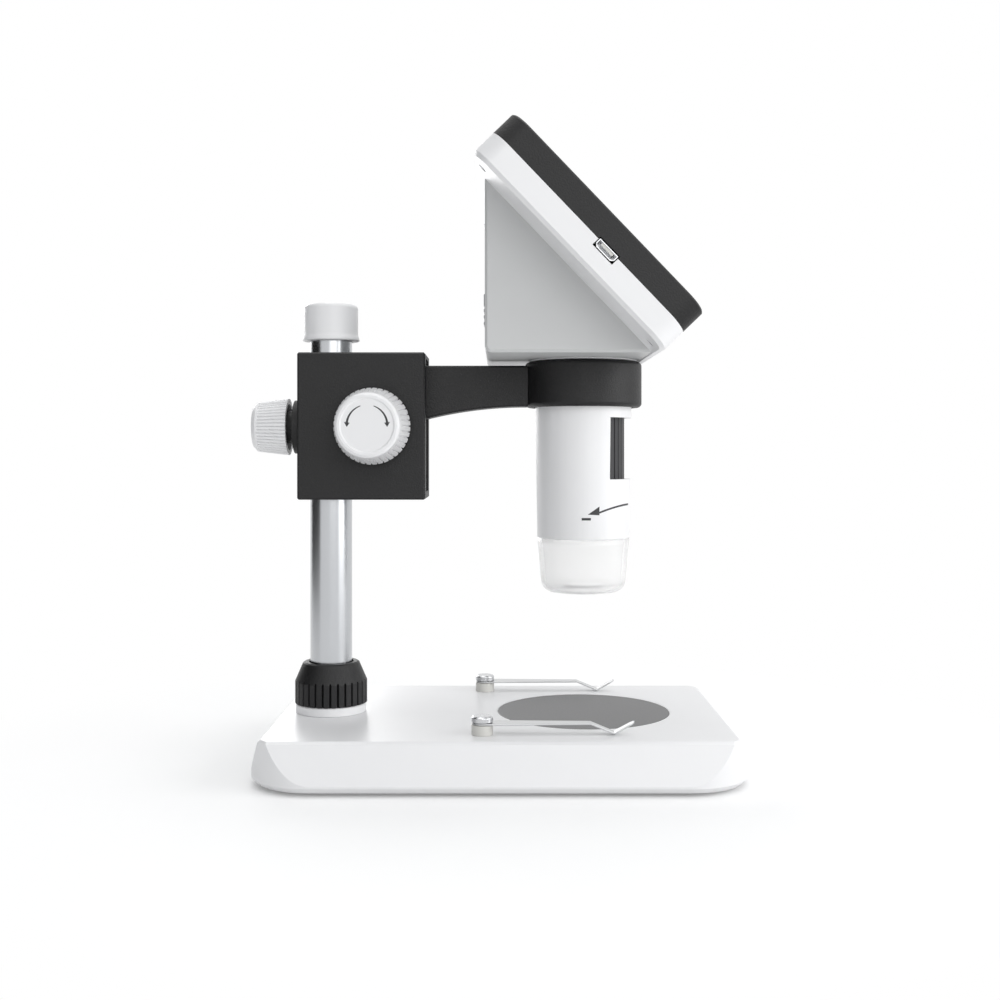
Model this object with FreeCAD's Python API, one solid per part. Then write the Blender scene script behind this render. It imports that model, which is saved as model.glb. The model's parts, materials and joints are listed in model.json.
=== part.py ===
"""LCD digital microscope on its post stand, at its real size in millimetres.

X runs from the post towards the screen, Y across and Z up. The feet stand on z = 0, and the
origin lies on the floor under the middle of the whole instrument. The scope hangs in a ring at
the end of an arm; the arm slides in the bracket, and the bracket slides on the post.
"""
import FreeCAD, Part
import math
import os

from FreeCAD import Placement, Rotation, Vector

match_tolerance = 0.01
circle_tolerance = 0.1
parallel_tolerance = 0.0001

UP = Vector(0, 0, 1)
ALONG = Vector(1, 0, 0)
ACROSS = Vector(0, 1, 0)

# Base
base_length = 155.0
base_width = 104.0
base_corner = 20.5
base_top = 15.6
base_underside = 1.2
base_rim = 3.5
end_slope = 4.0
side_slope = 5.5
base_wall = 3.0
base_roof = 2.4
rim_bevel = 1.6
roof_bevel = 0.8
cover_thickness = 2.0
cover_gap = 0.1
ballast_thickness = 3.0
ballast_end_gap = 13.5
ballast_side_gap = 13.0
rib_thickness = 1.6
rib_depth = 4.0
middle_rib_places = (-38.0, -18.0)
end_rib_inset = 13.5
foot_radius = 5.0
foot_sink = 0.8
foot_end_inset = 23.5
foot_side_inset = 11.0
cover_screw_end_inset = 11.5
cover_screw_side_inset = 22.0
cover_boss_radius = 3.2
cover_screw_radius = 1.3
cover_screw_length = 7.0
cover_head_radius = 2.5
cover_head_height = 1.1

# Stage
stage_end_inset = 49.4
stage_radius = 28.85
stage_thickness = 2.0
stage_gap = 0.15
stage_support = 3.0

# Spring clips
clip_setback = 33.6
clip_side_inset = 16.0
clip_bush_radius = 3.35
clip_bush_height = 3.15
clip_thickness = 0.5
clip_gap = 0.15
clip_head_height = 1.9
clip_pin_radius = 1.5
clip_pin_depth = 4.5
clip_pin_play = 0.05
clip_root_width = 6.4
clip_tip_width = 3.0
clip_bend = 33.5
clip_heel = 40.8
clip_reach = 47.1
clip_tip_rise = 3.6
clip_floor_gap = 0.2
clip_tip_stretch = 1.2
clip_heel_stretch = 1.3

# Post and its collar
column_end_inset = 20.5
column_radius = 7.0
column_bore = 5.4
column_play = 0.1
column_floor = 6.0
column_top = 147.6
cap_radius = 9.0
cap_lip_radius = 9.5
cap_lip_height = 1.0
cap_low = 140.3
cap_top = 152.5
cap_bevel = 0.8
boss_radius = 11.75
boss_height = 3.0
stub_radius = 9.6
stub_height = 6.0
socket_radius = 10.6
nut_radius = 12.06
nut_grip_height = 7.3
nut_cone_height = 6.4
nut_top_radius = 9.3
nut_gap = 0.2
nut_ribs = 30
nut_groove = 0.75
collet_height = 5.8
collet_wall = 1.5
collet_taper = 0.7
collet_slits = 6
collet_slit = 0.8

# Bracket
housing_low = 87.3
housing_height = 48.5
housing_half = 12.0
housing_back = 9.7
housing_front = 32.4
housing_bevel = 0.5
bush_wall = 0.9
bush_inset = 1.0
slot_mouth_half = 6.2
slot_half = 8.3
slot_floor = 10.2
slot_lip = 9.9
slot_low_wall = 2.5
slot_top_wall = 1.8
slide_play = 0.1
knob_height = 24.15
stud_radius = 3.0
stud_play = 0.08
insert_radius = 4.6
pad_play = 0.15
pad_gap = 0.05

# Rear clamp knob, measured outwards from the bracket's back face
rear_flange_radius = 9.0
rear_flange_thickness = 2.4
rear_pad_radius = 2.9
rear_pad_length = 2.6
rear_insert_depth = 0.7
rear_knob_start = 4.4
rear_knob_length = 11.7
rear_knob_radius = 9.5
rear_knob_end_radius = 8.35
rear_knob_dome = 1.3
rear_knob_wall = 1.7
rear_knob_draft = 0.5
rear_collar_radius = 5.4
rear_collar_length = 5.0
rear_collar_gap = 0.3
rear_knob_ribs = 48
rear_knob_groove = 0.5

# Lock knob, measured outwards from the bracket's side face
lock_offset = 15.1
lock_boss_radius = 7.0
lock_boss_height = 3.5
lock_insert_depth = 1.4
lock_pad_radius = 2.9
lock_knob_start = 2.0
lock_knob_length = 15.6
lock_knob_radius = 12.6
lock_knob_shoulder = 10.2
lock_dish_radius = 8.75
lock_dish_depth = 0.45
lock_knob_wall = 1.8
lock_knob_face = 3.2
lock_hub_radius = 5.0
lock_hub_gap = 0.7
lock_knob_ribs = 40
lock_knob_groove = 0.6
lock_rib_share = 0.78
lock_knob_bevel = 0.7
lock_knob_step = 1.0

# Arm and ring
arm_half = 6.1
arm_drop = 4.0
arm_root_height = 17.7
arm_tip_height = 13.6
arm_bevel = 0.5
ring_radius = 19.6
ring_wall = 2.6
ring_rise = 1.4
ring_height = 15.3
ring_bevel = 0.9
liner_wall = 0.55
liner_play = 0.1
liner_inset = 0.5
arm_screw_spacing = 9.0
arm_screw_radius = 1.5
arm_screw_head_radius = 2.8
arm_screw_head_height = 2.0
arm_screw_length = 22.0

# Barrel
barrel_play = 0.15
barrel_end_radius = 15.5
barrel_length = 59.5
barrel_wall = 1.9
barrel_straight = 1.0
shoulder_radius = 18.2
shoulder_height = 0.5
shoulder_gap = 0.1
neck_flange_radius = 19.5
neck_flange_height = 1.8
neck_cut_gap = 0.1
window_low = 19.7
window_height = 20.4
window_half_angle = 60.0
wheel_radius = 13.8
wheel_overlap = 1.0
wheel_gap = 0.4
wheel_ribs = 40
wheel_groove = 0.55
bulkhead = 2.0
cell_radius = 9.2
cell_play = 0.1
cell_wall = 1.6
cell_low = 9.7
cell_length = 34.5
cell_lip = 1.0
lens_thickness = 3.6
lens_edge = 1.6
sensor_board_height = 51.7
sensor_board_thickness = 1.4
sensor_size = 7.0
sensor_thickness = 1.0
sensor_ledge = 1.8
led_board_height = 2.8
led_ledge = 1.0
led_board_thickness = 1.4
led_board_bore = 9.8
led_ring_radius = 11.4
led_count = 8
led_size = 1.8
led_thickness = 1.1

# Clear cap
clear_height = 18.3
clear_end_radius = 13.9
clear_corner = 4.0
clear_wall = 2.0
clear_floor = 1.4
clear_aperture = 8.5
clear_spigot_wall = 0.9
clear_spigot_height = 2.7

# Head
head_half = 38.0
head_back = 32.8
head_wall = 2.0
head_heel_round = 2.2
head_side_bevel = 0.8
neck_play = 0.1
cut_beyond = 1.0

# Screen, lying on its slope with its thickness behind the front face
screen_slope = 46.2
screen_foot_out = 19.8
screen_foot_up = -1.3
screen_length = 81.2
screen_width = 121.0
screen_corner = 7.0
bezel_depth = 8.2
case_depth = 8.5
case_bevel = 1.2
bezel_bevel = 0.5
screen_wall = 1.8
bezel_face = 1.6
window_end_border = 10.6
window_side_border = 10.0
window_thickness = 0.9
window_gap = 0.1
window_ledge = 1.6
lcd_end_margin = 2.0
lcd_side_margin = 1.0
lcd_thickness = 3.0
board_end_gap = 1.3
board_side_gap = 1.2
board_thickness = 1.2
case_screw_end_inset = 4.4
case_screw_side_inset = 11.7
case_post_radius = 2.2
case_screw_radius = 1.0
case_screw_head_radius = 1.5
case_screw_head_height = 1.2
case_recess_depth = 1.6
case_screw_reach = 3.0
cable_hole_length = 28.0
cable_hole_width = 44.0
cable_hole_x = 16.0
battery_length = 34.0
battery_width = 56.0
battery_thickness = 4.4
battery_x = -16.0

# Sockets and controls of the screen, placed along its slope from its middle
usb_place = 7.9
usb_width = 7.5
usb_height = 2.6
usb_length = 6.0
usb_wall = 0.35
usb_drop = 9.0
usb_sink = 0.1
usb_mouth_share = 0.8
usb_tongue_width = 4.6
usb_tongue_height = 0.7
port_play = 0.35
card_place = 15.0
card_width = 12.0
card_depth = 14.0
card_height = 1.6
card_slot_width = 11.2
card_slot_height = 0.9
dimmer_place = -12.0
dimmer_radius = 5.3
dimmer_thickness = 2.2
dimmer_sink = 0.2
dimmer_play = 0.4
thumb_notch_half = 6.5
thumb_notch_depth = 0.7
dimmer_pin_radius = 1.0
dimmer_pin_play = 0.06
dimmer_ribs = 24
dimmer_groove = 0.4
pot_size = 7.0
pot_height = 1.6

# Keys on the back of the head
key_proud = 0.75
key_play = 0.12
key_travel = 0.4
key_flange = 0.8
key_flange_thickness = 0.6
key_flange_gap = 0.05
key_width = 9.0
shutter_height = 4.2
shutter_centre = 20.0
bar_height = 1.3
bar_pitch = 2.15
bar_first = 16.55
key_board_thickness = 1.2
key_board_height = 16.0
key_board_width = 40.0
dome_height = 0.8
dome_size = 1.1
key_post_radius = 1.5
key_post_y = 17.0

# Knobs and wheels
groove_run_out = 0.5
knob_run_out = 1.0

# Places worked out from the sizes above
ballast_length = base_length - 2 * ballast_end_gap
ballast_width = base_width - 2 * ballast_side_gap
rib_places = (*middle_rib_places, base_length / 2 - end_rib_inset)
foot_x = base_length / 2 - foot_end_inset
foot_y = base_width / 2 - foot_side_inset
cover_screw_x = base_length / 2 - cover_screw_end_inset
cover_screw_y = base_width / 2 - cover_screw_side_inset
stage_x = base_length / 2 - stage_end_inset
clip_x = stage_x - clip_setback
clip_y = base_width / 2 - clip_side_inset
column_setback = base_length / 2 - column_end_inset
window_length = screen_length - 2 * window_end_border
window_width = screen_width - 2 * window_side_border
lcd_length = window_length + 2 * lcd_end_margin
lcd_width = window_width + 2 * lcd_side_margin
board_length = screen_length - 2 * (screen_wall + board_end_gap)
board_width = screen_width - 2 * (screen_wall + board_side_gap)
case_screw_x = screen_length / 2 - case_screw_end_inset
case_screw_y = screen_width / 2 - case_screw_side_inset
rear_reach = column_setback + housing_back + rear_knob_start + rear_knob_length
base_x = (rear_reach - base_length / 2) / 2
column_x = base_x - column_setback
stage_centre = base_x + stage_x
axis_x = stage_centre
cover_low = base_underside
cover_top = base_underside + cover_thickness
boss_top = base_top + boss_height
stub_top = boss_top + stub_height
column_hole = column_radius + column_play
bush_radius = column_hole + bush_wall
housing_top = housing_low + housing_height
housing_back_x = column_x - housing_back
housing_front_x = column_x + housing_front
slot_floor_x = column_x + slot_floor
slot_lip_x = housing_front_x - slot_lip
slot_low = housing_low + slot_low_wall
slot_top = housing_top - slot_top_wall
knob_z = housing_low + knob_height
lock_x = column_x + lock_offset
arm_top = housing_top - arm_drop
arm_root_low = arm_top - arm_root_height
arm_tip_low = arm_top - arm_tip_height
ring_top = arm_top + ring_rise
ring_low = ring_top - ring_height
ring_bore = ring_radius - ring_wall
liner_radius = ring_bore - liner_play
liner_bore = liner_radius - liner_wall
barrel_radius = liner_bore - barrel_play
head_low = ring_top + shoulder_gap + shoulder_height
barrel_low = head_low - barrel_length
barrel_bore = barrel_end_radius - barrel_wall
clear_low = barrel_low - clear_height
window_z = barrel_low + window_low
wheel_low = window_z - wheel_overlap
wheel_top = window_z + window_height + wheel_overlap
wheel_room = wheel_radius + wheel_gap
cell_z = barrel_low + cell_low
clip_low = base_top + clip_bush_height + clip_gap
clip_head_low = clip_low + clip_thickness + clip_gap
screen_depth = bezel_depth + case_depth
back_x = axis_x - head_back
dimmer_y = screen_width / 2 - dimmer_sink - dimmer_radius

# The screen's own frame: x down the slope, y across, z out of its face
slope_turn = Rotation(ACROSS, screen_slope)
slope_down = slope_turn.multVec(ALONG)
slope_out = slope_turn.multVec(UP)
screen_foot = Vector(axis_x + screen_foot_out, 0, head_low + screen_foot_up)
screen_middle = screen_foot - slope_down * (screen_length / 2) + slope_out * screen_depth
screen_place = Placement(screen_middle, slope_turn)


# Helpers

def block(x0, x1, y0, y1, z0, z1):
    """A box between two corners."""
    return Part.makeBox(x1 - x0, y1 - y0, z1 - z0, Vector(x0, y0, z0))


def rod(radius, low, high, x=0.0, y=0.0):
    """An upright cylinder between two heights."""
    return Part.makeCylinder(radius, high - low, Vector(x, y, low))


def rod_towards(radius, start, direction, length):
    """A cylinder from a point in any direction."""
    return Part.makeCylinder(radius, length, start, direction)


def tube(outer, inner, low, high, x=0.0, y=0.0):
    """An upright tube."""
    return rod(outer, low, high, x, y).cut(rod(inner, low, high, x, y))


def turned(points, x=0.0, y=0.0):
    """A solid turned about an upright axis from (radius, height) points."""
    corners = [Vector(radius, 0, height) for radius, height in points]
    outline = Part.makePolygon(corners + corners[:1])
    solid = Part.Face(outline).revolve(Vector(0, 0, 0), UP, 360)
    solid.translate(Vector(x, y, 0))
    return solid


def extruded(points, start, direction):
    """A solid pushed out of a closed outline of 3D points."""
    outline = Part.makePolygon(points + points[:1])
    solid = Part.Face(outline).extrude(direction)
    solid.translate(start)
    return solid


def runs_along(edge, direction):
    """True for a straight edge that is parallel to a direction."""
    ends = edge.Vertexes
    if len(ends) < 2 or not isinstance(edge.Curve, Part.Line):
        return False
    run = ends[1].Point - ends[0].Point
    return abs(run.normalize().dot(direction)) > 1 - parallel_tolerance


def at_height(edge, height):
    """True for an edge that lies level at a height."""
    box = edge.BoundBox
    return abs(box.ZMin - height) < match_tolerance and abs(box.ZMax - height) < match_tolerance


def is_circle_at(edge, height, radius):
    """True for an edge that runs round a circle of a radius at a height."""
    return at_height(edge, height) and abs(edge.Length - 2 * math.pi * radius) < circle_tolerance


def rounded(shape, radius, chosen):
    """The shape with the edges that a test picks rounded off."""
    return shape.makeFillet(radius, [edge for edge in shape.Edges if chosen(edge)])


def bevelled(shape, size, chosen):
    """The shape with the edges that a test picks cut off by a narrow bevel."""
    return shape.makeChamfer(size, [edge for edge in shape.Edges if chosen(edge)])


def rounded_plate(length, width, corner, low, high, x=0.0, y=0.0):
    """A level plate with round upright corners."""
    plate = block(x - length / 2, x + length / 2, y - width / 2, y + width / 2, low, high)
    return rounded(plate, corner, lambda edge: runs_along(edge, UP))


def placed(shape, origin, direction):
    """A shape built about the Z axis, set with that axis along another direction."""
    moved = shape.copy()
    moved.Placement = Placement(origin, Rotation(UP, direction)) * moved.Placement
    return moved


def on_screen(shape):
    """A shape built in the screen's own frame, set on its slope."""
    moved = shape.copy()
    moved.Placement = screen_place * moved.Placement
    return moved


def grooved(solid, count, low_radius, high_radius, low, high, groove):
    """A turned solid with straight grooves cut down its side, leaving ribs between them."""
    lean = math.degrees(math.atan2(low_radius - high_radius, high - low))
    length = math.hypot(low_radius - high_radius, high - low)
    cutters = []
    for index in range(count):
        corners = [
            Vector(-groove, -groove, 0),
            Vector(groove, 0, 0),
            Vector(-groove, groove, 0),
        ]
        cutter = extruded([corner * -1 for corner in corners], Vector(0, 0, 0), UP * length)
        cutter.rotate(Vector(0, 0, 0), ACROSS, -lean)
        cutter.translate(Vector(low_radius, 0, low))
        cutter.rotate(Vector(0, 0, 0), UP, 360.0 * index / count)
        cutters.append(cutter)
    return solid.cut(Part.makeCompound(cutters))


def mirrored_pair(make):
    """The same piece made at both signs of Y, as one group."""
    return Part.makeCompound([make(-1), make(1)])


# Base

def base_form(inset, low, high):
    """The base's form, inset from its outside: upright round corners cut by leaning sides."""
    half_length = base_length / 2 - inset
    half_width = base_width / 2 - inset
    upright = rounded_plate(2 * half_length, 2 * half_width, base_corner - inset, low, high, base_x)
    side = [
        Vector(-half_length, 0, low),
        Vector(-half_length, 0, base_rim),
        Vector(-half_length + end_slope, 0, base_top),
        Vector(half_length - end_slope, 0, base_top),
        Vector(half_length, 0, base_rim),
        Vector(half_length, 0, low),
    ]
    end = [
        Vector(0, -half_width, low),
        Vector(0, -half_width, base_rim),
        Vector(0, -half_width + side_slope, base_top),
        Vector(0, half_width - side_slope, base_top),
        Vector(0, half_width, base_rim),
        Vector(0, half_width, low),
    ]
    leaning_ends = extruded(side, Vector(base_x, -half_width, 0), ACROSS * (2 * half_width))
    leaning_sides = extruded(end, Vector(base_x - half_length, 0, 0), ALONG * (2 * half_length))
    return upright.common(leaning_ends).common(leaning_sides)


def cover_screw_places():
    """The middles of the screws that hold the cover."""
    return [(base_x + sx * cover_screw_x, sy * cover_screw_y) for sx in (-1, 1) for sy in (-1, 1)]


def foot_places():
    """The middles of the feet."""
    return [(base_x + sx * foot_x, sy * foot_y) for sx in (-1, 1) for sy in (-1, 1)]


def base_shell():
    """The white moulded base: a hollow tray with its ribs, bosses and stage seat."""
    shell = base_form(0.0, base_underside, base_top)
    shell = bevelled(shell, roof_bevel, lambda edge: at_height(edge, base_top))
    shell = bevelled(shell, rim_bevel, lambda edge: at_height(edge, base_underside))
    roof_low = base_top - base_roof
    cavity = base_form(base_wall, base_underside, roof_low)
    shell = shell.cut(cavity)
    inside = []
    stage_low = base_top - stage_thickness - stage_gap - base_roof
    inside.append(rod(stage_radius + stage_support, stage_low, roof_low, stage_centre))
    for x, y in cover_screw_places():
        inside.append(rod(cover_boss_radius, cover_top, roof_low, x, y))
    for place in rib_places:
        rib_x = base_x + place
        half = base_width / 2 - base_wall
        rib_low = roof_low - rib_depth
        rib = block(rib_x - rib_thickness / 2, rib_x + rib_thickness / 2, -half, half, rib_low, roof_low)
        inside.append(rib.common(cavity))
    clip_seat_low = base_top - clip_pin_depth - base_roof
    for side in (-1, 1):
        inside.append(rod(clip_bush_radius, clip_seat_low, roof_low, base_x + clip_x, side * clip_y))
    shell = shell.multiFuse(inside)
    holes = [rod(socket_radius, roof_low, base_top, column_x)]
    holes.append(rod(stage_radius + stage_gap, base_top - stage_thickness, base_top, stage_centre))
    for x, y in cover_screw_places():
        holes.append(rod(cover_screw_radius, cover_low, cover_low + cover_screw_length, x, y))
    clip_hole_low = base_top - clip_pin_depth
    for side in (-1, 1):
        holes.append(rod(clip_pin_radius, clip_hole_low, base_top, base_x + clip_x, side * clip_y))
    return shell.cut(Part.makeCompound(holes))


def post_socket():
    """The white socket of the post: a boss on the base, a stub for the nut and a tube below."""
    outline = [
        (0, cover_top),
        (socket_radius, cover_top),
        (socket_radius, base_top),
        (boss_radius, base_top),
        (boss_radius, boss_top),
        (stub_radius, boss_top),
        (stub_radius, stub_top),
        (column_hole, stub_top),
        (column_hole, column_floor - column_play),
        (0, column_floor - column_play),
    ]
    return turned(outline, column_x)


def base_cover():
    """The plate that closes the base from below, recessed for the feet and the screw heads."""
    inset = base_wall + cover_gap
    cover = base_form(inset, cover_low, cover_top)
    cuts = [rod(foot_radius, cover_low, cover_low + foot_sink, x, y) for x, y in foot_places()]
    for x, y in cover_screw_places():
        cuts.append(rod(cover_screw_radius, cover_low, cover_top, x, y))
        cuts.append(rod(cover_head_radius, cover_low, cover_low + cover_head_height, x, y))
    return cover.cut(Part.makeCompound(cuts))


def ballast_plate():
    """The steel plate on the cover that keeps the stand from tipping."""
    top = cover_top + ballast_thickness
    plate = rounded_plate(ballast_length, ballast_width, base_corner / 2, cover_top, top, base_x)
    gap = cover_boss_radius + 2 * cover_gap
    cuts = [rod(socket_radius + 2 * cover_gap, cover_top, top, column_x)]
    cuts += [rod(gap, cover_top, top, x, y) for x, y in cover_screw_places()]
    return plate.cut(Part.makeCompound(cuts))


def rubber_feet():
    """Four round feet, sunk into the cover."""
    feet = [rod(foot_radius, 0.0, cover_low + foot_sink, x, y) for x, y in foot_places()]
    feet = [bevelled(foot, foot_sink / 2, lambda edge: at_height(edge, 0.0)) for foot in feet]
    return Part.makeCompound(feet)


def cover_screws():
    """The screws that hold the cover to the base's bosses."""
    screws = []
    for x, y in cover_screw_places():
        head = rod(cover_head_radius, cover_low, cover_low + cover_head_height, x, y)
        shaft = rod(cover_screw_radius, cover_low, cover_low + cover_screw_length, x, y)
        screws.append(head.fuse(shaft))
    return Part.makeCompound(screws)


def stage_disc():
    """The dark plate that the specimen lies on, flush in the base."""
    disc = rod(stage_radius, base_top - stage_thickness, base_top, stage_centre)
    return disc.makeChamfer(stage_gap, [edge for edge in disc.Edges if at_height(edge, base_top)])


# Spring clips

def clip_bushes():
    """The pale spacers under the clips."""
    def bush(side):
        top = base_top + clip_bush_height
        return tube(clip_bush_radius, clip_pin_radius, base_top, top, base_x + clip_x, side * clip_y)
    return mirrored_pair(bush)


def clip_pins():
    """The metal pins that the clips turn on, with their button heads."""
    def pin(side):
        x = base_x + clip_x
        top = clip_head_low + clip_head_height
        shaft = rod(clip_pin_radius, base_top - clip_pin_depth, top, x, side * clip_y)
        head = rod(clip_bush_radius, clip_head_low, top, x, side * clip_y)
        head = bevelled(head, clip_head_height / 4, lambda edge: at_height(edge, top))
        return shaft.fuse(head)
    return mirrored_pair(pin)


def spring_clip(side):
    """A spring strip: round at its pin, tapered, dipping to the stage and turned up at its tip."""
    heel_z = base_top + clip_floor_gap
    low = clip_low
    tip = clip_tip_rise + base_top
    rise = [
        Vector(-clip_bush_radius, 0, low),
        Vector(clip_bend, 0, low),
        Vector(clip_heel, 0, heel_z),
        Vector(clip_reach, 0, tip),
        Vector(clip_reach, 0, tip + clip_thickness * clip_tip_stretch),
        Vector(clip_heel, 0, heel_z + clip_thickness * clip_heel_stretch),
        Vector(clip_bend, 0, low + clip_thickness),
        Vector(-clip_bush_radius, 0, low + clip_thickness),
    ]
    strip = extruded(rise, Vector(0, -clip_root_width, 0), ACROSS * (2 * clip_root_width))
    height = 2 * clip_tip_rise + clip_thickness
    root = clip_root_width / 2
    tip_half = clip_tip_width / 2
    taper = [
        Vector(0, -root, 0),
        Vector(clip_reach - tip_half, -tip_half, 0),
        Vector(clip_reach - tip_half, tip_half, 0),
        Vector(0, root, 0),
    ]
    plan = extruded(taper, Vector(0, 0, base_top), UP * height)
    plan = plan.fuse(rod(root, base_top, base_top + height))
    plan = plan.fuse(rod(tip_half, base_top, base_top + height, clip_reach - tip_half))
    strip = strip.common(plan)
    strip = strip.cut(rod(clip_pin_radius + clip_pin_play, base_top, base_top + height))
    strip.translate(Vector(base_x + clip_x, side * clip_y, 0))
    return strip


# Post

def column_tube():
    """The steel post, a tube that can turn in its socket once the collar nut is loose."""
    return tube(column_radius, column_bore, column_floor, column_top, column_x)


def column_cap():
    """The cap on the post's top."""
    outline = [
        (0, column_top),
        (column_radius, column_top),
        (column_radius, cap_low),
        (cap_lip_radius, cap_low),
        (cap_lip_radius, cap_low + cap_lip_height),
        (cap_radius, cap_low + 2 * cap_lip_height),
        (cap_radius, cap_top),
        (0, cap_top),
    ]
    cap = turned(outline, column_x)
    return bevelled(cap, cap_bevel, lambda edge: is_circle_at(edge, cap_top, cap_radius))


def collar_nut():
    """The ribbed nut that draws the collet onto the post."""
    low = boss_top + nut_gap
    grip_top = low + nut_grip_height
    top = grip_top + nut_cone_height
    shelf = stub_top + nut_gap
    collet_radius = column_hole + collet_wall + nut_gap
    outline = [
        (stub_radius + column_play, low),
        (nut_radius, low),
        (nut_radius, grip_top),
        (nut_top_radius, top),
        (column_hole + 2 * nut_gap, top),
        (column_hole + 2 * nut_gap, stub_top + collet_height + nut_gap),
        (collet_radius - collet_taper, stub_top + collet_height + nut_gap),
        (collet_radius, shelf),
        (stub_radius + column_play, shelf),
    ]
    nut = turned(outline)
    nut = bevelled(nut, nut_gap * 2, lambda edge: is_circle_at(edge, top, nut_top_radius))
    start = low - groove_run_out
    end = grip_top + groove_run_out
    nut = grooved(nut, nut_ribs, nut_radius, nut_radius, start, end, nut_groove)
    nut.translate(Vector(column_x, 0, 0))
    return nut


def column_collet():
    """The split tapered ring that grips the post inside the nut."""
    wide = column_hole + collet_wall
    top = stub_top + collet_height
    outline = [
        (column_hole, stub_top),
        (wide, stub_top),
        (wide - collet_taper, top),
        (column_hole, top),
    ]
    ring = turned(outline)
    slits = []
    for index in range(collet_slits):
        slit = block(0, 2 * wide, -collet_slit / 2, collet_slit / 2, stub_top + collet_height / 4, top)
        slit.rotate(Vector(0, 0, 0), UP, 360.0 * index / collet_slits)
        slits.append(slit)
    ring = ring.cut(Part.makeCompound(slits))
    ring.translate(Vector(column_x, 0, 0))
    return ring


# Bracket

def bracket_housing():
    """The black bracket: a block bored for the post, with a T-slot for the arm's slide."""
    body = block(housing_back_x, housing_front_x, -housing_half, housing_half, housing_low, housing_top)
    body = body.makeChamfer(housing_bevel, body.Edges)
    lock_boss_tip = -housing_half - lock_boss_height
    boss_start = Vector(lock_x, -housing_half, knob_z)
    boss = rod_towards(lock_boss_radius, boss_start, ACROSS * -1, lock_boss_height)
    body = body.fuse(boss)
    cuts = [rod(bush_radius, housing_low, housing_top, column_x)]
    cuts.append(block(slot_floor_x, slot_lip_x, -slot_half, slot_half, slot_low, slot_top))
    cuts.append(block(slot_lip_x, housing_front_x, -slot_mouth_half, slot_mouth_half, slot_low, slot_top))
    insert_reach = lock_boss_height + lock_insert_depth
    lock_start = Vector(lock_x, lock_boss_tip, knob_z)
    cuts.append(rod_towards(insert_radius, lock_start, ACROSS, insert_reach))
    pad_reach = housing_half + lock_boss_height
    cuts.append(rod_towards(lock_pad_radius + pad_play, lock_start, ACROSS, pad_reach))
    rear_start = Vector(housing_back_x, 0, knob_z)
    cuts.append(rod_towards(insert_radius, rear_start, ALONG, rear_insert_depth))
    cuts.append(rod_towards(rear_pad_radius + pad_play, rear_start, ALONG, housing_back))
    return body.cut(Part.makeCompound(cuts))


def column_bush():
    """The sliding sleeve between the bracket and the post, with a hole for the clamp pad."""
    bush = tube(bush_radius, column_hole, housing_low + bush_inset, housing_top - bush_inset, column_x)
    hole = rod_towards(rear_pad_radius + pad_play, Vector(column_x, 0, knob_z), ALONG * -1, housing_back)
    return bush.cut(hole)


def rear_flange():
    """The black disc on the bracket's back that carries the clamp screw."""
    flange = tube(rear_flange_radius, insert_radius, 0.0, rear_flange_thickness)
    return placed(flange, Vector(housing_back_x, 0, knob_z), ALONG * -1)


def rear_insert():
    """The brass threaded insert of the clamp screw."""
    insert = tube(insert_radius, stud_radius + stud_play, -rear_insert_depth, rear_flange_thickness)
    return placed(insert, Vector(housing_back_x, 0, knob_z), ALONG * -1)


def rear_clamp_pad():
    """The plastic pad that the clamp screw presses on the post, hollowed to its curve."""
    pad_start = -rear_insert_depth - pad_gap
    pad = rod(rear_pad_radius, pad_start - rear_pad_length, pad_start)
    pad = placed(pad, Vector(housing_back_x, 0, knob_z), ALONG * -1)
    return pad.cut(rod(column_radius + pad_gap, housing_low, housing_top, column_x))


def rear_stud():
    """The clamp screw with its black collar."""
    collar_start = rear_flange_thickness + rear_collar_gap
    shaft_end = collar_start + rear_collar_length + rear_knob_wall
    stud = rod(stud_radius, -rear_insert_depth, shaft_end)
    stud = stud.fuse(rod(rear_collar_radius, collar_start, collar_start + rear_collar_length))
    return placed(stud, Vector(housing_back_x, 0, knob_z), ALONG * -1)


def rear_knob():
    """The ribbed, slightly tapered knob of the clamp screw, open towards the bracket."""
    collar_end = rear_flange_thickness + rear_collar_gap + rear_collar_length
    end = rear_knob_start + rear_knob_length
    crown = end - rear_knob_dome
    inner = rear_knob_radius - rear_knob_wall
    outline = [
        (0, collar_end + rear_knob_wall),
        (stud_radius, collar_end + rear_knob_wall),
        (stud_radius, collar_end),
        (rear_collar_radius, collar_end),
        (rear_collar_radius, crown - rear_knob_wall),
        (inner - rear_knob_draft, crown - rear_knob_wall),
        (inner, rear_knob_start),
        (rear_knob_radius, rear_knob_start),
        (rear_knob_end_radius, crown),
        (rear_knob_end_radius - rear_knob_dome, end),
        (0, end),
    ]
    knob = turned(outline)
    slope = (rear_knob_radius - rear_knob_end_radius) / (crown - rear_knob_start)
    groove_top = crown - rear_knob_dome / 2
    low_radius = rear_knob_radius + slope
    high_radius = rear_knob_radius - slope * (groove_top - rear_knob_start)
    groove_low = rear_knob_start - knob_run_out
    knob = grooved(knob, rear_knob_ribs, low_radius, high_radius, groove_low, groove_top, rear_knob_groove)
    return placed(knob, Vector(housing_back_x, 0, knob_z), ALONG * -1)


def lock_insert():
    """The brass threaded insert of the lock screw."""
    insert = tube(insert_radius, stud_radius + stud_play, -lock_insert_depth, lock_boss_height)
    return placed(insert, Vector(lock_x, -housing_half, knob_z), ACROSS * -1)


def lock_pad():
    """The plastic pad that the lock screw presses on the arm's slide."""
    wall = housing_half - slot_half
    pad = rod(lock_pad_radius, -wall, -lock_insert_depth - pad_gap)
    return placed(pad, Vector(lock_x, -housing_half, knob_z), ACROSS * -1)


def lock_stud():
    """The lock screw, moulded into its knob."""
    stud = rod(stud_radius, -lock_insert_depth, lock_knob_start + lock_knob_length - lock_knob_face)
    return placed(stud, Vector(lock_x, -housing_half, knob_z), ACROSS * -1)


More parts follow.
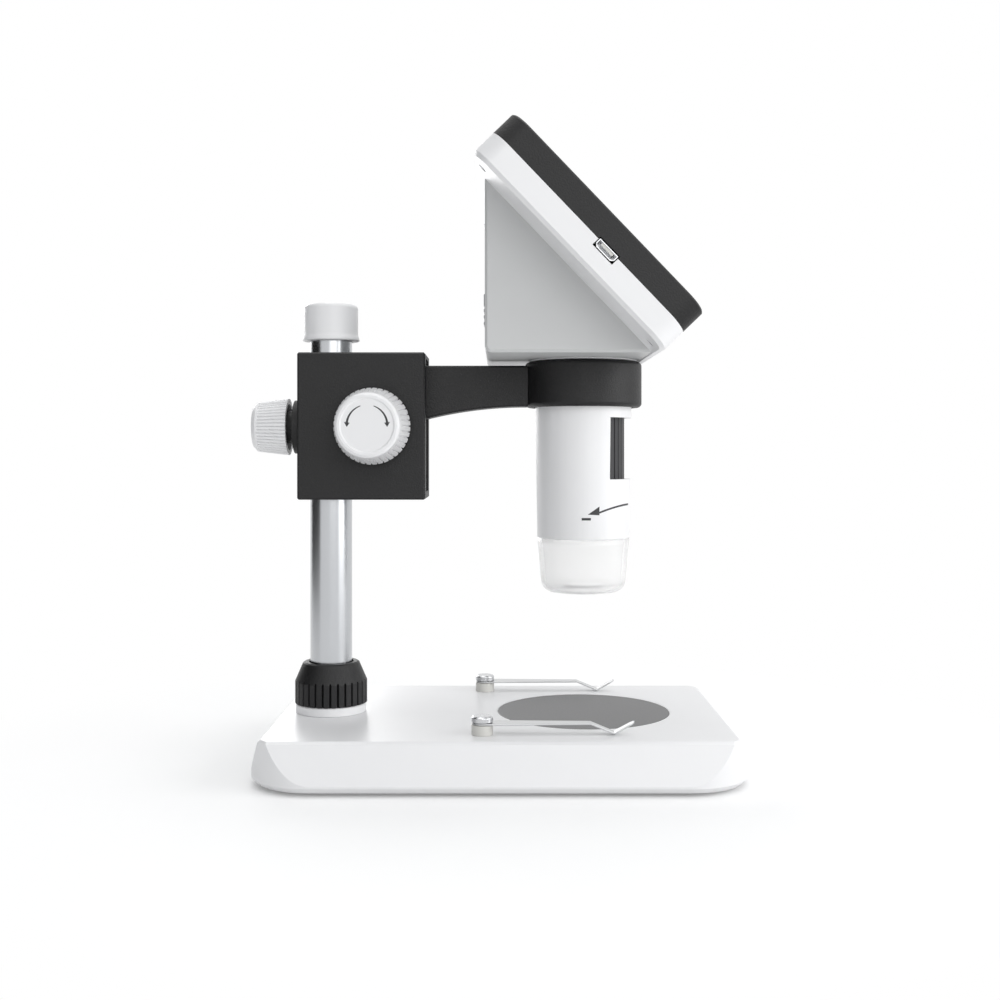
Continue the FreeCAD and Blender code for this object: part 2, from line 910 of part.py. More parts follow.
def lock_knob():
    """The big lock knob: a tapered ribbed skirt, a smooth shoulder and a shallow dished face."""
    start = lock_knob_start
    end = start + lock_knob_length
    face_low = end - lock_knob_face
    hub_low = lock_boss_height + lock_hub_gap
    slope = (lock_knob_radius - lock_knob_shoulder) / lock_knob_length
    inner = lock_knob_shoulder - lock_knob_wall
    outline = [
        (0, face_low),
        (stud_radius, face_low),
        (stud_radius, hub_low),
        (lock_hub_radius, hub_low),
        (lock_hub_radius, face_low - lock_knob_step),
        (inner, face_low - lock_knob_step),
        (lock_knob_radius - lock_knob_wall, start),
        (lock_knob_radius, start),
        (lock_knob_shoulder, end),
        (lock_dish_radius, end),
        (lock_dish_radius - lock_dish_depth, end - lock_dish_depth),
        (0, end - lock_dish_depth),
    ]
    knob = turned(outline)
    knob = bevelled(knob, lock_knob_bevel, lambda edge: is_circle_at(edge, end, lock_knob_shoulder))
    groove_top = start + lock_knob_length * lock_rib_share
    low_radius = lock_knob_radius + slope
    high_radius = lock_knob_radius - slope * (groove_top - start)
    groove_low = start - knob_run_out
    knob = grooved(knob, lock_knob_ribs, low_radius, high_radius, groove_low, groove_top, lock_knob_groove)
    return placed(knob, Vector(lock_x, -housing_half, knob_z), ACROSS * -1)


# Arm

def arm_screw_heights():
    """The heights of the two screws that hold the arm to its slide."""
    middle = (arm_top + arm_root_low) / 2
    return [middle - arm_screw_spacing / 2, middle + arm_screw_spacing / 2]


def slide_block():
    """The T-shaped head of the arm, which slides in the bracket."""
    start = slot_floor_x + slide_play
    end = slot_lip_x - slide_play
    half = slot_half - slide_play
    head = block(start, end, -half, half, arm_root_low, arm_top)
    cuts = []
    for height in arm_screw_heights():
        cuts.append(rod_towards(arm_screw_radius, Vector(start, 0, height), ALONG, end - start))
        seat = Vector(start, 0, height)
        cuts.append(rod_towards(arm_screw_head_radius, seat, ALONG, arm_screw_head_height))
    return head.cut(Part.makeCompound(cuts))


def arm_screws():
    """The screws that hold the arm to its slide."""
    start = slot_floor_x + slide_play
    screws = []
    for height in arm_screw_heights():
        seat = Vector(start, 0, height)
        head = rod_towards(arm_screw_head_radius, seat, ALONG, arm_screw_head_height)
        screws.append(head.fuse(rod_towards(arm_screw_radius, seat, ALONG, arm_screw_length)))
    return Part.makeCompound(screws)


def is_beam_side_edge(edge):
    """True for the long edges of the arm's two sides."""
    return abs(edge.BoundBox.YLength) < match_tolerance and edge.BoundBox.XLength > 5


def arm_beam():
    """The arm: level on top, hollowed in a long curve below, ending on the ring."""
    root = slot_lip_x - slide_play
    mouth = housing_front_x
    tip = axis_x
    curve_end = axis_x - ring_radius
    middle = (mouth + curve_end) / 2
    sag = arm_tip_low - (arm_tip_low - arm_root_low) / 4
    corners = [
        Vector(mouth, -arm_half, arm_root_low),
        Vector(root, -arm_half, arm_root_low),
        Vector(root, -arm_half, arm_top),
        Vector(tip, -arm_half, arm_top),
        Vector(tip, -arm_half, arm_tip_low),
        Vector(curve_end, -arm_half, arm_tip_low),
    ]
    edges = [Part.LineSegment(a, b).toShape() for a, b in zip(corners, corners[1:])]
    under = Part.Arc(corners[-1], Vector(middle, -arm_half, sag), corners[0])
    beam = Part.Face(Part.Wire(edges + [under.toShape()])).extrude(ACROSS * (2 * arm_half))
    beam = bevelled(beam, arm_bevel, is_beam_side_edge)
    cuts = [rod(ring_radius, housing_low, cap_top, axis_x)]
    screw_reach = slot_floor_x + slide_play + arm_screw_length - root
    for height in arm_screw_heights():
        cuts.append(rod_towards(arm_screw_radius, Vector(root, 0, height), ALONG, screw_reach))
    return beam.cut(Part.makeCompound(cuts))


def holder_ring():
    """The ring that the scope hangs in."""
    ring = tube(ring_radius, ring_bore, ring_low, ring_top, axis_x)
    for height in (ring_low, ring_top):
        ring = bevelled(ring, ring_bevel, lambda edge: is_circle_at(edge, height, ring_radius))
    return ring


def ring_liner():
    """The thin sleeve in the ring that the barrel turns and lifts in."""
    return tube(liner_radius, liner_bore, ring_low + liner_inset, ring_top - liner_inset, axis_x)


# Barrel

def barrel_window():
    """The opening in the barrel's screen side through which the focus wheel is turned."""
    reach = 2 * barrel_radius
    cutter = rod(reach, window_z, window_z + window_height, axis_x)
    wedge_rise = reach * 2 * math.tan(math.radians(window_half_angle))
    corners = [
        Vector(0, 0, 0),
        Vector(2 * reach, -wedge_rise, 0),
        Vector(2 * reach, wedge_rise, 0),
    ]
    wedge = extruded(corners, Vector(axis_x, 0, window_z), UP * window_height)
    return cutter.common(wedge)


def barrel_shell():
    """The white barrel, tapered below the ring, with its window, bulkheads and neck flange."""
    flange_low = head_low + head_wall
    flange_top = flange_low + neck_flange_height
    ledge = barrel_low + sensor_board_height - sensor_ledge
    board = barrel_low + sensor_board_height
    led_seat = barrel_low + led_board_height + led_board_thickness
    outline = [
        (barrel_bore, barrel_low),
        (barrel_end_radius, barrel_low),
        (barrel_radius, ring_low - barrel_straight),
        (barrel_radius, head_low - shoulder_height),
        (shoulder_radius, head_low - shoulder_height),
        (shoulder_radius, head_low),
        (barrel_radius, head_low),
        (barrel_radius, flange_low),
        (neck_flange_radius, flange_low),
        (neck_flange_radius, flange_top),
        (wheel_room, flange_top),
        (wheel_room, board),
        (wheel_room - sensor_ledge, board),
        (wheel_room - sensor_ledge, ledge),
        (wheel_room, ledge),
        (wheel_room, wheel_top + wheel_gap + bulkhead),
        (cell_radius + cell_play, wheel_top + wheel_gap + bulkhead),
        (cell_radius + cell_play, wheel_top + wheel_gap),
        (wheel_room, wheel_top + wheel_gap),
        (wheel_room, wheel_low - wheel_gap),
        (cell_radius + cell_play, wheel_low - wheel_gap),
        (cell_radius + cell_play, wheel_low - wheel_gap - bulkhead),
        (barrel_bore - led_ledge, wheel_low - wheel_gap - bulkhead),
        (barrel_bore - led_ledge, led_seat),
        (barrel_bore, led_seat),
    ]
    reach = screen_length / 2
    screen_room = block(-reach, reach, -reach, reach, -screen_depth - neck_cut_gap, 0.0)
    return turned(outline, axis_x).cut(barrel_window()).cut(on_screen(screen_room))


def focus_wheel():
    """The ribbed focus wheel inside the barrel."""
    wheel = tube(wheel_radius, cell_radius + wheel_gap, wheel_low, wheel_top)
    low = wheel_low - groove_run_out
    top = wheel_top + groove_run_out
    wheel = grooved(wheel, wheel_ribs, wheel_radius, wheel_radius, low, top, wheel_groove)
    wheel.translate(Vector(axis_x, 0, 0))
    return wheel


def lens_cell():
    """The tube that carries the objective and runs up and down as the wheel turns."""
    bore = cell_radius - cell_wall
    top = cell_z + cell_length
    outline = [
        (bore - cell_lip, cell_z),
        (cell_radius, cell_z),
        (cell_radius, top),
        (bore, top),
        (bore, cell_z + cell_lip),
        (bore - cell_lip, cell_z + cell_lip),
    ]
    return turned(outline, axis_x)


def objective_lens():
    """The glass objective: a disc kept between two balls, thicker in its middle than at its edge."""
    radius = cell_radius - cell_wall
    low = cell_z + cell_lip
    top = low + lens_thickness
    bulge = (lens_thickness - lens_edge) / 2
    ball_radius = (radius ** 2 + bulge ** 2) / (2 * bulge)
    upper = Part.makeSphere(ball_radius, Vector(axis_x, 0, top - ball_radius))
    lower = Part.makeSphere(ball_radius, Vector(axis_x, 0, low + ball_radius))
    return rod(radius, low, top, axis_x).common(upper).common(lower)


def sensor_board():
    """The round board with the image sensor, over the lens cell."""
    low = barrel_low + sensor_board_height
    board = rod(wheel_room, low, low + sensor_board_thickness, axis_x)
    half = sensor_size / 2
    chip = block(axis_x - half, axis_x + half, -half, half, low - sensor_thickness, low)
    return board.fuse(chip)


def led_board():
    """The ring-shaped board that carries the lamps round the lens."""
    low = barrel_low + led_board_height
    return tube(barrel_bore, led_board_bore, low, low + led_board_thickness, axis_x)


def leds():
    """The ring of white lamps under their board."""
    top = barrel_low + led_board_height
    half = led_size / 2
    lamps = []
    for index in range(led_count):
        lamp = block(led_ring_radius - half, led_ring_radius + half, -half, half, top - led_thickness, top)
        lamp.rotate(Vector(0, 0, 0), UP, 360.0 * (index + 0.5) / led_count)
        lamp.translate(Vector(axis_x, 0, 0))
        lamps.append(lamp)
    return Part.makeCompound(lamps)


def clear_cap():
    """The clear tip of the barrel, round at its corner and open under the lens."""
    spigot_top = barrel_low + clear_spigot_height
    spigot_bore = barrel_bore - clear_spigot_wall
    inner_end = clear_end_radius - clear_wall
    outline = [
        (clear_aperture, clear_low + clear_floor),
        (clear_aperture, clear_low),
        (clear_end_radius, clear_low),
        (barrel_end_radius, barrel_low),
        (barrel_bore, barrel_low),
        (barrel_bore, spigot_top),
        (spigot_bore, spigot_top),
        (spigot_bore, barrel_low - clear_wall),
        (inner_end, clear_low + clear_corner),
        (inner_end - clear_corner + clear_floor, clear_low + clear_floor),
    ]
    cap = turned(outline, axis_x)
    return rounded(cap, clear_corner, lambda edge: is_circle_at(edge, clear_low, clear_end_radius))


# Head

def slope_height(x):
    """The height of the screen's back plane at a place along X."""
    return screen_foot.z + (screen_foot.x - x) * math.tan(math.radians(screen_slope))


def slope_place(z):
    """The place along X of the screen's back plane at a height."""
    return screen_foot.x - (z - screen_foot.z) / math.tan(math.radians(screen_slope))


def wedge(inset, half, beyond):
    """The head's wedge between its back, its underside and the screen's back plane."""
    left = back_x + inset
    low = head_low + inset
    shift = beyond / math.cos(math.radians(screen_slope))
    spread = beyond / math.sin(math.radians(screen_slope))
    corners = [
        Vector(left, 0, low),
        Vector(left, 0, slope_height(left) + shift),
        Vector(slope_place(low) + spread, 0, low),
    ]
    return extruded(corners, Vector(0, -half, 0), ACROSS * (2 * half))


def is_heel_edge(edge):
    """True for the wedge's edge between its back and its underside."""
    box = edge.BoundBox
    return runs_along(edge, ACROSS) and box.XMax < back_x + 1 and box.ZMax < head_low + 1


def is_side_edge(edge):
    """True for the outline edges of the wedge's two cheeks, apart from those on the screen."""
    return abs(edge.BoundBox.YLength) < match_tolerance and not runs_along(edge, slope_down)


def head_housing():
    """The wedge-shaped housing between the barrel and the screen, open under the screen."""
    head = wedge(0.0, head_half, 0.0)
    head = rounded(head, head_heel_round, is_heel_edge)
    head = bevelled(head, head_side_bevel, is_side_edge)
    head = head.cut(wedge(head_wall, head_half - head_wall, cut_beyond))
    holes = [rod(barrel_radius + neck_play, head_low - cut_beyond, head_low + head_wall, axis_x)]
    for centre, height in key_places():
        half = height / 2 + key_play
        width = key_width / 2 + key_play
        holes.append(block(back_x - 1, back_x + head_wall, -width, width, centre - half, centre + half))
    head = head.cut(Part.makeCompound(holes))
    posts = []
    for side in (-1, 1):
        start = Vector(back_x + head_wall, side * key_post_y, key_board_middle())
        posts.append(rod_towards(key_post_radius, start, ALONG, key_board_start() - back_x - head_wall))
    return head.multiFuse(posts)


def key_places():
    """The middle height and the height of each key, from the top one down."""
    places = [(head_low + shutter_centre, shutter_height)]
    places += [(head_low + bar_first - index * bar_pitch, bar_height) for index in range(3)]
    return places


def key_board_start():
    """Where the key board's back face lies, behind the domes under the keys."""
    flange_end = back_x + head_wall + key_flange_gap + key_flange_thickness
    return flange_end + key_travel + dome_height


def key_board_middle():
    """The height of the key board's middle."""
    return head_low + shutter_centre - shutter_height / 2


def key(index):
    """One key: its cap through the housing's wall and its flange behind it."""
    centre, height = key_places()[index]
    inside = back_x + head_wall + key_flange_gap
    low = centre - height / 2
    top = centre + height / 2
    cap = block(back_x - key_proud, inside, -key_width / 2, key_width / 2, low, top)
    cap = bevelled(cap, key_proud / 3, lambda edge: edge.BoundBox.XMax < back_x)
    wide = key_width / 2 + key_flange
    flange = block(inside, inside + key_flange_thickness, -wide, wide, low, top)
    return cap.fuse(flange)


def key_board():
    """The small board behind the keys, with a switch dome for each."""
    start = key_board_start()
    middle = key_board_middle()
    half = key_board_height / 2
    width = key_board_width / 2
    board = block(start, start + key_board_thickness, -width, width, middle - half, middle + half)
    domes = []
    for centre, height in key_places():
        dome_half = min(dome_size, height / 2)
        low = centre - dome_half
        domes.append(block(start - dome_height, start, -dome_size, dome_size, low, centre + dome_half))
    return board.multiFuse(domes)


# Screen, built in its own frame

def screen_plate(inset, low, high, length=screen_length, width=screen_width, corner=screen_corner):
    """A rounded slab of the screen's outline between two depths."""
    return rounded_plate(length - 2 * inset, width - 2 * inset, corner - inset, low, high)


def case_screw_places():
    """The middles of the four screws in the case's corners."""
    return [(sx * case_screw_x, sy * case_screw_y) for sx in (-1, 1) for sy in (-1, 1)]


def usb_cut(play):
    """The room of the micro-USB socket in the case's near side."""
    half = usb_width / 2 + play
    top = -usb_drop + usb_height / 2 + play
    near = -screen_width / 2 - 1
    low = top - usb_height - 2 * play
    return block(usb_place - half, usb_place + half, near, near + usb_length + 1, low, top)


def bezel():
    """The black front frame of the screen, with its window seat and screw posts."""
    frame = screen_plate(0.0, -bezel_depth, 0.0)
    frame = bevelled(frame, bezel_bevel, lambda edge: at_height(edge, 0.0))
    frame = frame.cut(screen_plate(screen_wall, -bezel_depth, -bezel_face))
    posts = [rod(case_post_radius, -bezel_depth, -bezel_face, x, y) for x, y in case_screw_places()]
    frame = frame.multiFuse(posts)
    seat_low = -window_thickness - window_gap
    cuts = [block(
        -window_length / 2 - window_gap, window_length / 2 + window_gap,
        -window_width / 2 - window_gap, window_width / 2 + window_gap, seat_low, 0.0
    )]
    through_length = window_length / 2 - window_ledge
    through_width = window_width / 2 - window_ledge
    cuts.append(block(-through_length, through_length, -through_width, through_width, -bezel_face, 0.0))
    for x, y in case_screw_places():
        cuts.append(rod(case_screw_radius, -bezel_depth, -bezel_depth + case_screw_reach, x, y))
    cuts.append(usb_cut(port_play))
    return on_screen(frame.cut(Part.makeCompound(cuts)))


def screen_window():
    """The glossy window over the display."""
    half_length = window_length / 2
    half_width = window_width / 2
    pane = block(
        -half_length, half_length, -half_width, half_width, -window_thickness - window_gap, -window_gap
    )
    return on_screen(pane)


def lcd_module():
    """The display panel behind the bezel."""
    half_length = lcd_length / 2
    half_width = lcd_width / 2
    low = -bezel_face - lcd_thickness
    panel = block(-half_length, half_length, -half_width, half_width, low, -bezel_face)
    return on_screen(panel)


def main_board():
    """The main board, clamped between the posts of the bezel and of the case."""
    top = -bezel_depth
    low = top - board_thickness
    half_length = board_length / 2
    half_width = board_width / 2
    board = block(-half_length, half_length, -half_width, half_width, low, top)
    cuts = [rod(case_screw_radius, low, top, x, y) for x, y in case_screw_places()]
    cuts.append(usb_cut(0.0))
    return on_screen(board.cut(Part.makeCompound(cuts)))


def rear_case():
    """The white rear shell of the screen, with screw posts, ports and the cable opening."""
    case = screen_plate(0.0, -screen_depth, -bezel_depth)
    case = bevelled(case, case_bevel, lambda edge: at_height(edge, -screen_depth))
    case = case.cut(screen_plate(screen_wall, -screen_depth + screen_wall, -bezel_depth))
    post_top = -bezel_depth - board_thickness
    posts = []
    for x, y in case_screw_places():
        posts.append(rod(case_post_radius, -screen_depth + screen_wall, post_top, x, y))
    case = case.multiFuse(posts)
    cuts = []
    for x, y in case_screw_places():
        cuts.append(rod(case_screw_radius, -screen_depth, post_top, x, y))
        recess_top = -screen_depth + case_recess_depth + case_screw_head_height
        cuts.append(rod(case_screw_head_radius, -screen_depth, recess_top, x, y))
    cuts.append(block(
        cable_hole_x - cable_hole_length / 2, cable_hole_x + cable_hole_length / 2,
        -cable_hole_width / 2, cable_hole_width / 2, -screen_depth, -screen_depth + screen_wall
    ))
    cuts.append(usb_cut(port_play))
    far = screen_width / 2
    slot_top = post_top - (card_height - card_slot_height) / 2 + port_play / 2
    slot_low = slot_top - card_slot_height - port_play
    card_half = card_slot_width / 2 + port_play
    card_near = card_place - card_half
    card_far = card_place + card_half
    cuts.append(block(card_near, card_far, far - 2 * screen_wall, far + 1, slot_low, slot_top))
    wheel_top_z = dimmer_top() + dimmer_play / 2
    wheel_low_z = wheel_top_z - dimmer_thickness - dimmer_play
    cuts.append(rod(dimmer_radius + dimmer_play, wheel_low_z, wheel_top_z, dimmer_place, dimmer_y))
    notch_low = dimmer_place - thumb_notch_half
    notch_high = dimmer_place + thumb_notch_half
    cuts.append(block(notch_low, notch_high, far - thumb_notch_depth, far + 1, wheel_low_z, wheel_top_z))
    return on_screen(case.cut(Part.makeCompound(cuts)))


def battery():
    """The flat lithium cell on the back of the main board."""
    top = -bezel_depth - board_thickness
    half_length = battery_length / 2
    half_width = battery_width / 2
    low = top - battery_thickness
    cell = block(battery_x - half_length, battery_x + half_length, -half_width, half_width, low, top)
    return on_screen(bevelled(cell, battery_thickness / 4, lambda edge: not runs_along(edge, UP)))


def usb_socket():
    """The micro-USB socket: a steel shell with bevelled lower corners round its tongue."""
    half = usb_width / 2
    top = usb_height / 2
    bevel = usb_height / 3

    def trapezoid(inset, start, length):
        near_half = half - inset
        corners = [
            Vector(-near_half, 0, top - inset),
            Vector(near_half, 0, top - inset),
            Vector(near_half, 0, -top + bevel),
            Vector(near_half - bevel, 0, -top + inset),
            Vector(-near_half + bevel, 0, -top + inset),
            Vector(-near_half, 0, -top + bevel),
        ]
        return extruded(corners, Vector(usb_place, start, -usb_drop), ACROSS * length)

    mouth = -screen_width / 2 + usb_sink
    shell = trapezoid(0.0, mouth, usb_length - usb_sink)
    shell = shell.cut(trapezoid(usb_wall, mouth, usb_length * usb_mouth_share))
    tongue_half = usb_tongue_width / 2
    near = usb_place - tongue_half
    far = usb_place + tongue_half
    start = mouth + usb_wall
    end = mouth + usb_length * usb_mouth_share
    tongue = block(near, far, start, end, -usb_drop, -usb_drop + usb_tongue_height)
    return on_screen(shell.fuse(tongue))


def card_socket():
    """The memory card socket on the far side of the main board."""
    top = -bezel_depth - board_thickness
    far = board_width / 2
    shell_half = card_width / 2
    low = top - card_height
    shell = block(card_place - shell_half, card_place + shell_half, far - card_depth, far, low, top)
    half = card_slot_width / 2
    slot_top = top - (card_height - card_slot_height) / 2
    slot_low = slot_top - card_slot_height
    slot = block(card_place - half, card_place + half, far - card_depth / 2, far, slot_low, slot_top)
    return on_screen(shell.cut(slot))


def dimmer_top():
    """How deep behind the screen's face the dimmer wheel starts."""
    return -bezel_depth - board_thickness - pot_height - dimmer_play / 2


def dimmer_wheel():
    """The ribbed thumb wheel that sets the lamps' brightness, just inside the far side."""
    low = dimmer_top() - dimmer_thickness
    wheel = tube(dimmer_radius, dimmer_pin_radius + dimmer_pin_play, low, dimmer_top())
    start = low - groove_run_out
    end = dimmer_top() + groove_run_out
    wheel = grooved(wheel, dimmer_ribs, dimmer_radius, dimmer_radius, start, end, dimmer_groove)
    wheel.translate(Vector(dimmer_place, dimmer_y, 0))
    return on_screen(wheel)


def dimmer_pot():
    """The potentiometer under the dimmer wheel, with the pin that the wheel turns on."""
    top = -bezel_depth - board_thickness
    low = top - pot_height
    outer = board_width / 2 - pot_size / 2
    half = pot_size / 2
    body = block(dimmer_place - half, dimmer_place + half, outer - half, outer + half, low, top)
    pin = rod(dimmer_pin_radius, dimmer_top() - dimmer_thickness, low, dimmer_place, dimmer_y)
    return on_screen(body.fuse(pin))


def case_screws():
    """The four screws that hold the case, sunk in their recesses."""
    screws = []
    head_low_z = -screen_depth + case_recess_depth
    for x, y in case_screw_places():
        head = rod(case_screw_head_radius, head_low_z, head_low_z + case_screw_head_height, x, y)
        screws.append(head.fuse(rod(case_screw_radius, head_low_z, -bezel_depth + case_screw_reach, x, y)))
    return on_screen(Part.makeCompound(screws))


NODES = {
    "base_shell": base_shell,
    "post_socket": post_socket,
    "base_cover": base_cover,
    "ballast_plate": ballast_plate,
    "rubber_feet": rubber_feet,
    "cover_screws": cover_screws,
    "stage_disc": stage_disc,
    "clip_bushes": clip_bushes,
    "clip_pins": clip_pins,
    "spring_clip_near": lambda: spring_clip(-1),
    "spring_clip_far": lambda: spring_clip(1),
    "column_collet": column_collet,
    "collar_nut": collar_nut,
    "column_tube": column_tube,
    "column_cap": column_cap,
    "bracket_housing": bracket_housing,
    "column_bush": column_bush,
    "rear_flange": rear_flange,
    "rear_insert": rear_insert,
    "rear_clamp_pad": rear_clamp_pad,
    "rear_stud": rear_stud,
    "rear_knob": rear_knob,
    "lock_insert": lock_insert,
    "lock_pad": lock_pad,
    "lock_stud": lock_stud,
    "lock_knob": lock_knob,
    "slide_block": slide_block,
    "arm_screws": arm_screws,
    "arm_beam": arm_beam,
    "holder_ring": holder_ring,
    "ring_liner": ring_liner,
    "barrel_shell": barrel_shell,
    "focus_wheel": focus_wheel,
    "lens_cell": lens_cell,
    "objective_lens": objective_lens,
    "sensor_board": sensor_board,
    "led_board": led_board,
    "leds": leds,
    "clear_cap": clear_cap,
    "head_housing": head_housing,
    "key_board": key_board,
    "shutter_key": lambda: key(0),
    "upper_key": lambda: key(1),
    "middle_key": lambda: key(2),
    "lower_key": lambda: key(3),
    "bezel": bezel,
    "screen_window": screen_window,
    "lcd_module": lcd_module,
    "main_board": main_board,
    "rear_case": rear_case,
    "battery": battery,
    "usb_socket": usb_socket,
    "card_socket": card_socket,
    "dimmer_wheel": dimmer_wheel,
    "dimmer_pot": dimmer_pot,
    "case_screws": case_screws,
}


def main():
    """Make every piece and write it to its own file."""
    os.makedirs("parts", exist_ok=True)
    for name, make in NODES.items():
        make().exportStep(f"parts/{name}.step")


if __name__ == "__main__":
    main()
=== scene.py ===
"""The looks of an LCD digital microscope on its post stand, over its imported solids.

Every outer solid gets a copy with welded faces and softened edges in the material of the real
piece. Printed arrows, screw recesses, lamp lenses and socket contacts are added to them.
"""
import json
import math

import bmesh
import bpy
from mathutils import Matrix, Vector


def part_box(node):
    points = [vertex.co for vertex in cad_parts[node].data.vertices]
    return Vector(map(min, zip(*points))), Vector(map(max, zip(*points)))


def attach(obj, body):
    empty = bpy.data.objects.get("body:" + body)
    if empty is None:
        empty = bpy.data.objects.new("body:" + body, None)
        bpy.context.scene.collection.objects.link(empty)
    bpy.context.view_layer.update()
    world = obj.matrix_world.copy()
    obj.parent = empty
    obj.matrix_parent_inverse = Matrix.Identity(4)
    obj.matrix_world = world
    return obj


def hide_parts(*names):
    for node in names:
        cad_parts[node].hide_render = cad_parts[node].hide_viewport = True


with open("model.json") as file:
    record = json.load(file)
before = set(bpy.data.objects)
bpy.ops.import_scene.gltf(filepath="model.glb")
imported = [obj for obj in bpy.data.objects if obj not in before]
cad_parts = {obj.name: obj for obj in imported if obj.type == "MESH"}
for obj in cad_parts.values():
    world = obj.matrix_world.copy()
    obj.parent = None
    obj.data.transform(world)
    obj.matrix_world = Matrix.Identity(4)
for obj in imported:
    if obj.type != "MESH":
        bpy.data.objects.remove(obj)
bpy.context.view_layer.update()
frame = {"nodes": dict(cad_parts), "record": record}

bl_info = {
    "name": "Digital microscope finish",
    "version": (1, 0, 0),
    "blender": (4, 5, 0),
    "location": "3D View > Sidebar > Microscope",
    "description": "Finishes the packed solids of a digital microscope on its stand",
    "category": "Object",
}

MM = 0.001
RECORD = frame["record"]
BODY_OF = {node: body for body, nodes in RECORD["behaviour"]["bodies"].items() for node in nodes}

# Edges: what is welded, what counts as flat, as bent and as creased, and the steps of a rounding
weld_mm = 0.002
flat_angle = math.radians(0.6)
edge_angle = math.radians(18.5)
crease_angle = math.radians(32)
edge_segments = 3

# Patterns and typical optical values of the finishes. A real mould grain or turning line is finer
# than the render can show, so each is drawn as coarse as it needs to show
cloud_size_mm = 14.0
cloud_detail = 2.0
grain_detail = 3.0
line_detail = 4.0
wave_detail = 1.0
metal_tone = 0.05
plastic_ior = 1.53
black_ior = 1.45
acrylic_ior = 1.49
glass_ior = 1.52

# The focus wheel's grooves, whose depth painted shade darkens, and the screen's slope, window and display
# area
groove_shade_depth_mm = 0.55
wheel_grain_mm = 0.4
screen_slope_deg = 46.2
window_wave_mm = 6.0
display_length_mm = 54.0
display_width_mm = 95.0

# Printed marks: how deep they sit, how far they stand out, and the steps of their bends
mark_sink_mm = 0.12
mark_lift_mm = 0.03
arrow_steps = 18
head_steps = 6
sign_steps = 4

# The two arrows on the lock knob's dished face
dish_depth_mm = 0.45
arrow_radius_mm = 6.4
arrow_width_mm = 0.72
tail_share = 0.35
arrow_head_mm = 1.8
arrow_tail_deg = 19.0
arrow_neck_deg = 82.0
arrow_tip_deg = 95.0

# The arrows and signs on the barrel, which is a little wider at its top than at its end
barrel_end_mm = 15.5
barrel_top_mm = 16.2
ring_gap_mm = 1.0
focus_arrow_start_deg = 68.0
focus_arrow_end_deg = 16.0
focus_arrow_top_mm = 11.3
focus_arrow_fall_mm = 2.4
focus_arrow_bend = 2.2
focus_line_mm = 0.62
focus_head_mm = 2.8
focus_head_deg = 14.0
focus_head_lean_mm = 1.2
head_point_mm = 0.02
sign_drop_mm = 2.1
sign_half_deg = 5.5
sign_bar_mm = 0.8
sign_arm_mm = 1.6

# The cross recess in a screw's head
recess_length_mm = 1.9
recess_width_mm = 0.5
recess_depth_mm = 0.6

# The power socket's tongue and its contacts
tongue_lift_mm = 0.1
tongue_sink_mm = 0.25
tongue_length_mm = 4.4
tongue_width_mm = 4.7
tongue_thickness_mm = 0.85
tongue_edge_mm = 0.08
tongue_edge_segments = 2
contact_count = 5
contact_width_mm = 0.4
contact_length_mm = 3.4
contact_thickness_mm = 0.12
contact_pitch_mm = 0.8
contact_setback_mm = 0.3

# The ring of lamps over the clear tip
lamp_count = 8
lamp_ring_mm = 11.4
lamp_radius_mm = 0.7
lamp_flatness = 0.6
lamp_segments = 16
lamp_rings = 8

# The camera, fitted to the photograph's outline
camera_lens_mm = 45.6
camera_sensor_mm = 36.0
camera_x_mm = 2.65
camera_y_mm = -428.0
camera_z_mm = 103.0
camera_shift = -0.048
camera_near = 0.01

# The studio: each lamp's name, the setting of its power, its place and its side in metres
studio_middle = Vector((0.0, 0.0, 0.09))
studio_lamps = (
    ("top_lamp", "top_light", (0.05, 0.1, 1.2), 1.0),
    ("right_lamp", "key_light", (0.9, -0.35, 0.32), 0.8),
    ("front_lamp", "fill_light", (0.3, -1.0, 0.5), 0.8),
    ("back_lamp", "back_light", (-0.32, 0.75, 0.32), 0.45),
)
flag_place = Vector((-0.5, 0.0, 0.22))
flag_target = Vector((-0.05, 0.0, 0.12))
flag_side = 0.66
floor_glow = 0.15
shadow_near = 0.09
shadow_far = 0.2
sky_strength = 0.42


# Colours and nodes

def linear(code):
    """A linear colour, with full cover, from an sRGB hex code."""
    channels = [int(code[place:place + 2], 16) / 255.0 for place in (1, 3, 5)]
    bright = [c / 12.92 if c <= 0.04045 else ((c + 0.055) / 1.055) ** 2.4 for c in channels]
    return (*bright, 1.0)


def darker(colour, amount):
    """The same colour made darker by a share."""
    return tuple(channel * (1.0 - amount) for channel in colour[:3]) + (1.0,)


def add_node(tree, kind, inputs=None, **options):
    """Adds a node, sets it, and fills its inputs with values or links them to sockets."""
    node = tree.nodes.new(kind)
    for name, value in options.items():
        setattr(node, name, value)
    for name, value in (inputs or {}).items():
        if isinstance(value, bpy.types.NodeSocket):
            tree.links.new(value, node.inputs[name])
        else:
            node.inputs[name].default_value = value
    return node


def new_material(name):
    """A node material with nothing in it yet, and its tree."""
    made = bpy.data.materials.new(name)
    made.use_nodes = True
    made.node_tree.nodes.clear()
    return made, made.node_tree


def finish_material(tree, shader):
    """Links a shader to the material's output."""
    add_node(tree, "ShaderNodeOutputMaterial", {"Surface": shader.outputs[0]})


def noise(tree, size_mm, stretch=(1.0, 1.0, 1.0), detail=grain_detail):
    """Noise on object coordinates whose grain has a real size in millimetres."""
    place = add_node(tree, "ShaderNodeTexCoord")
    drawn = add_node(tree, "ShaderNodeMapping", {"Vector": place.outputs["Object"], "Scale": stretch})
    return add_node(tree, "ShaderNodeTexNoise", {
        "Vector": drawn.outputs["Vector"],
        "Scale": 1.0 / (size_mm * MM),
        "Detail": detail,
    })


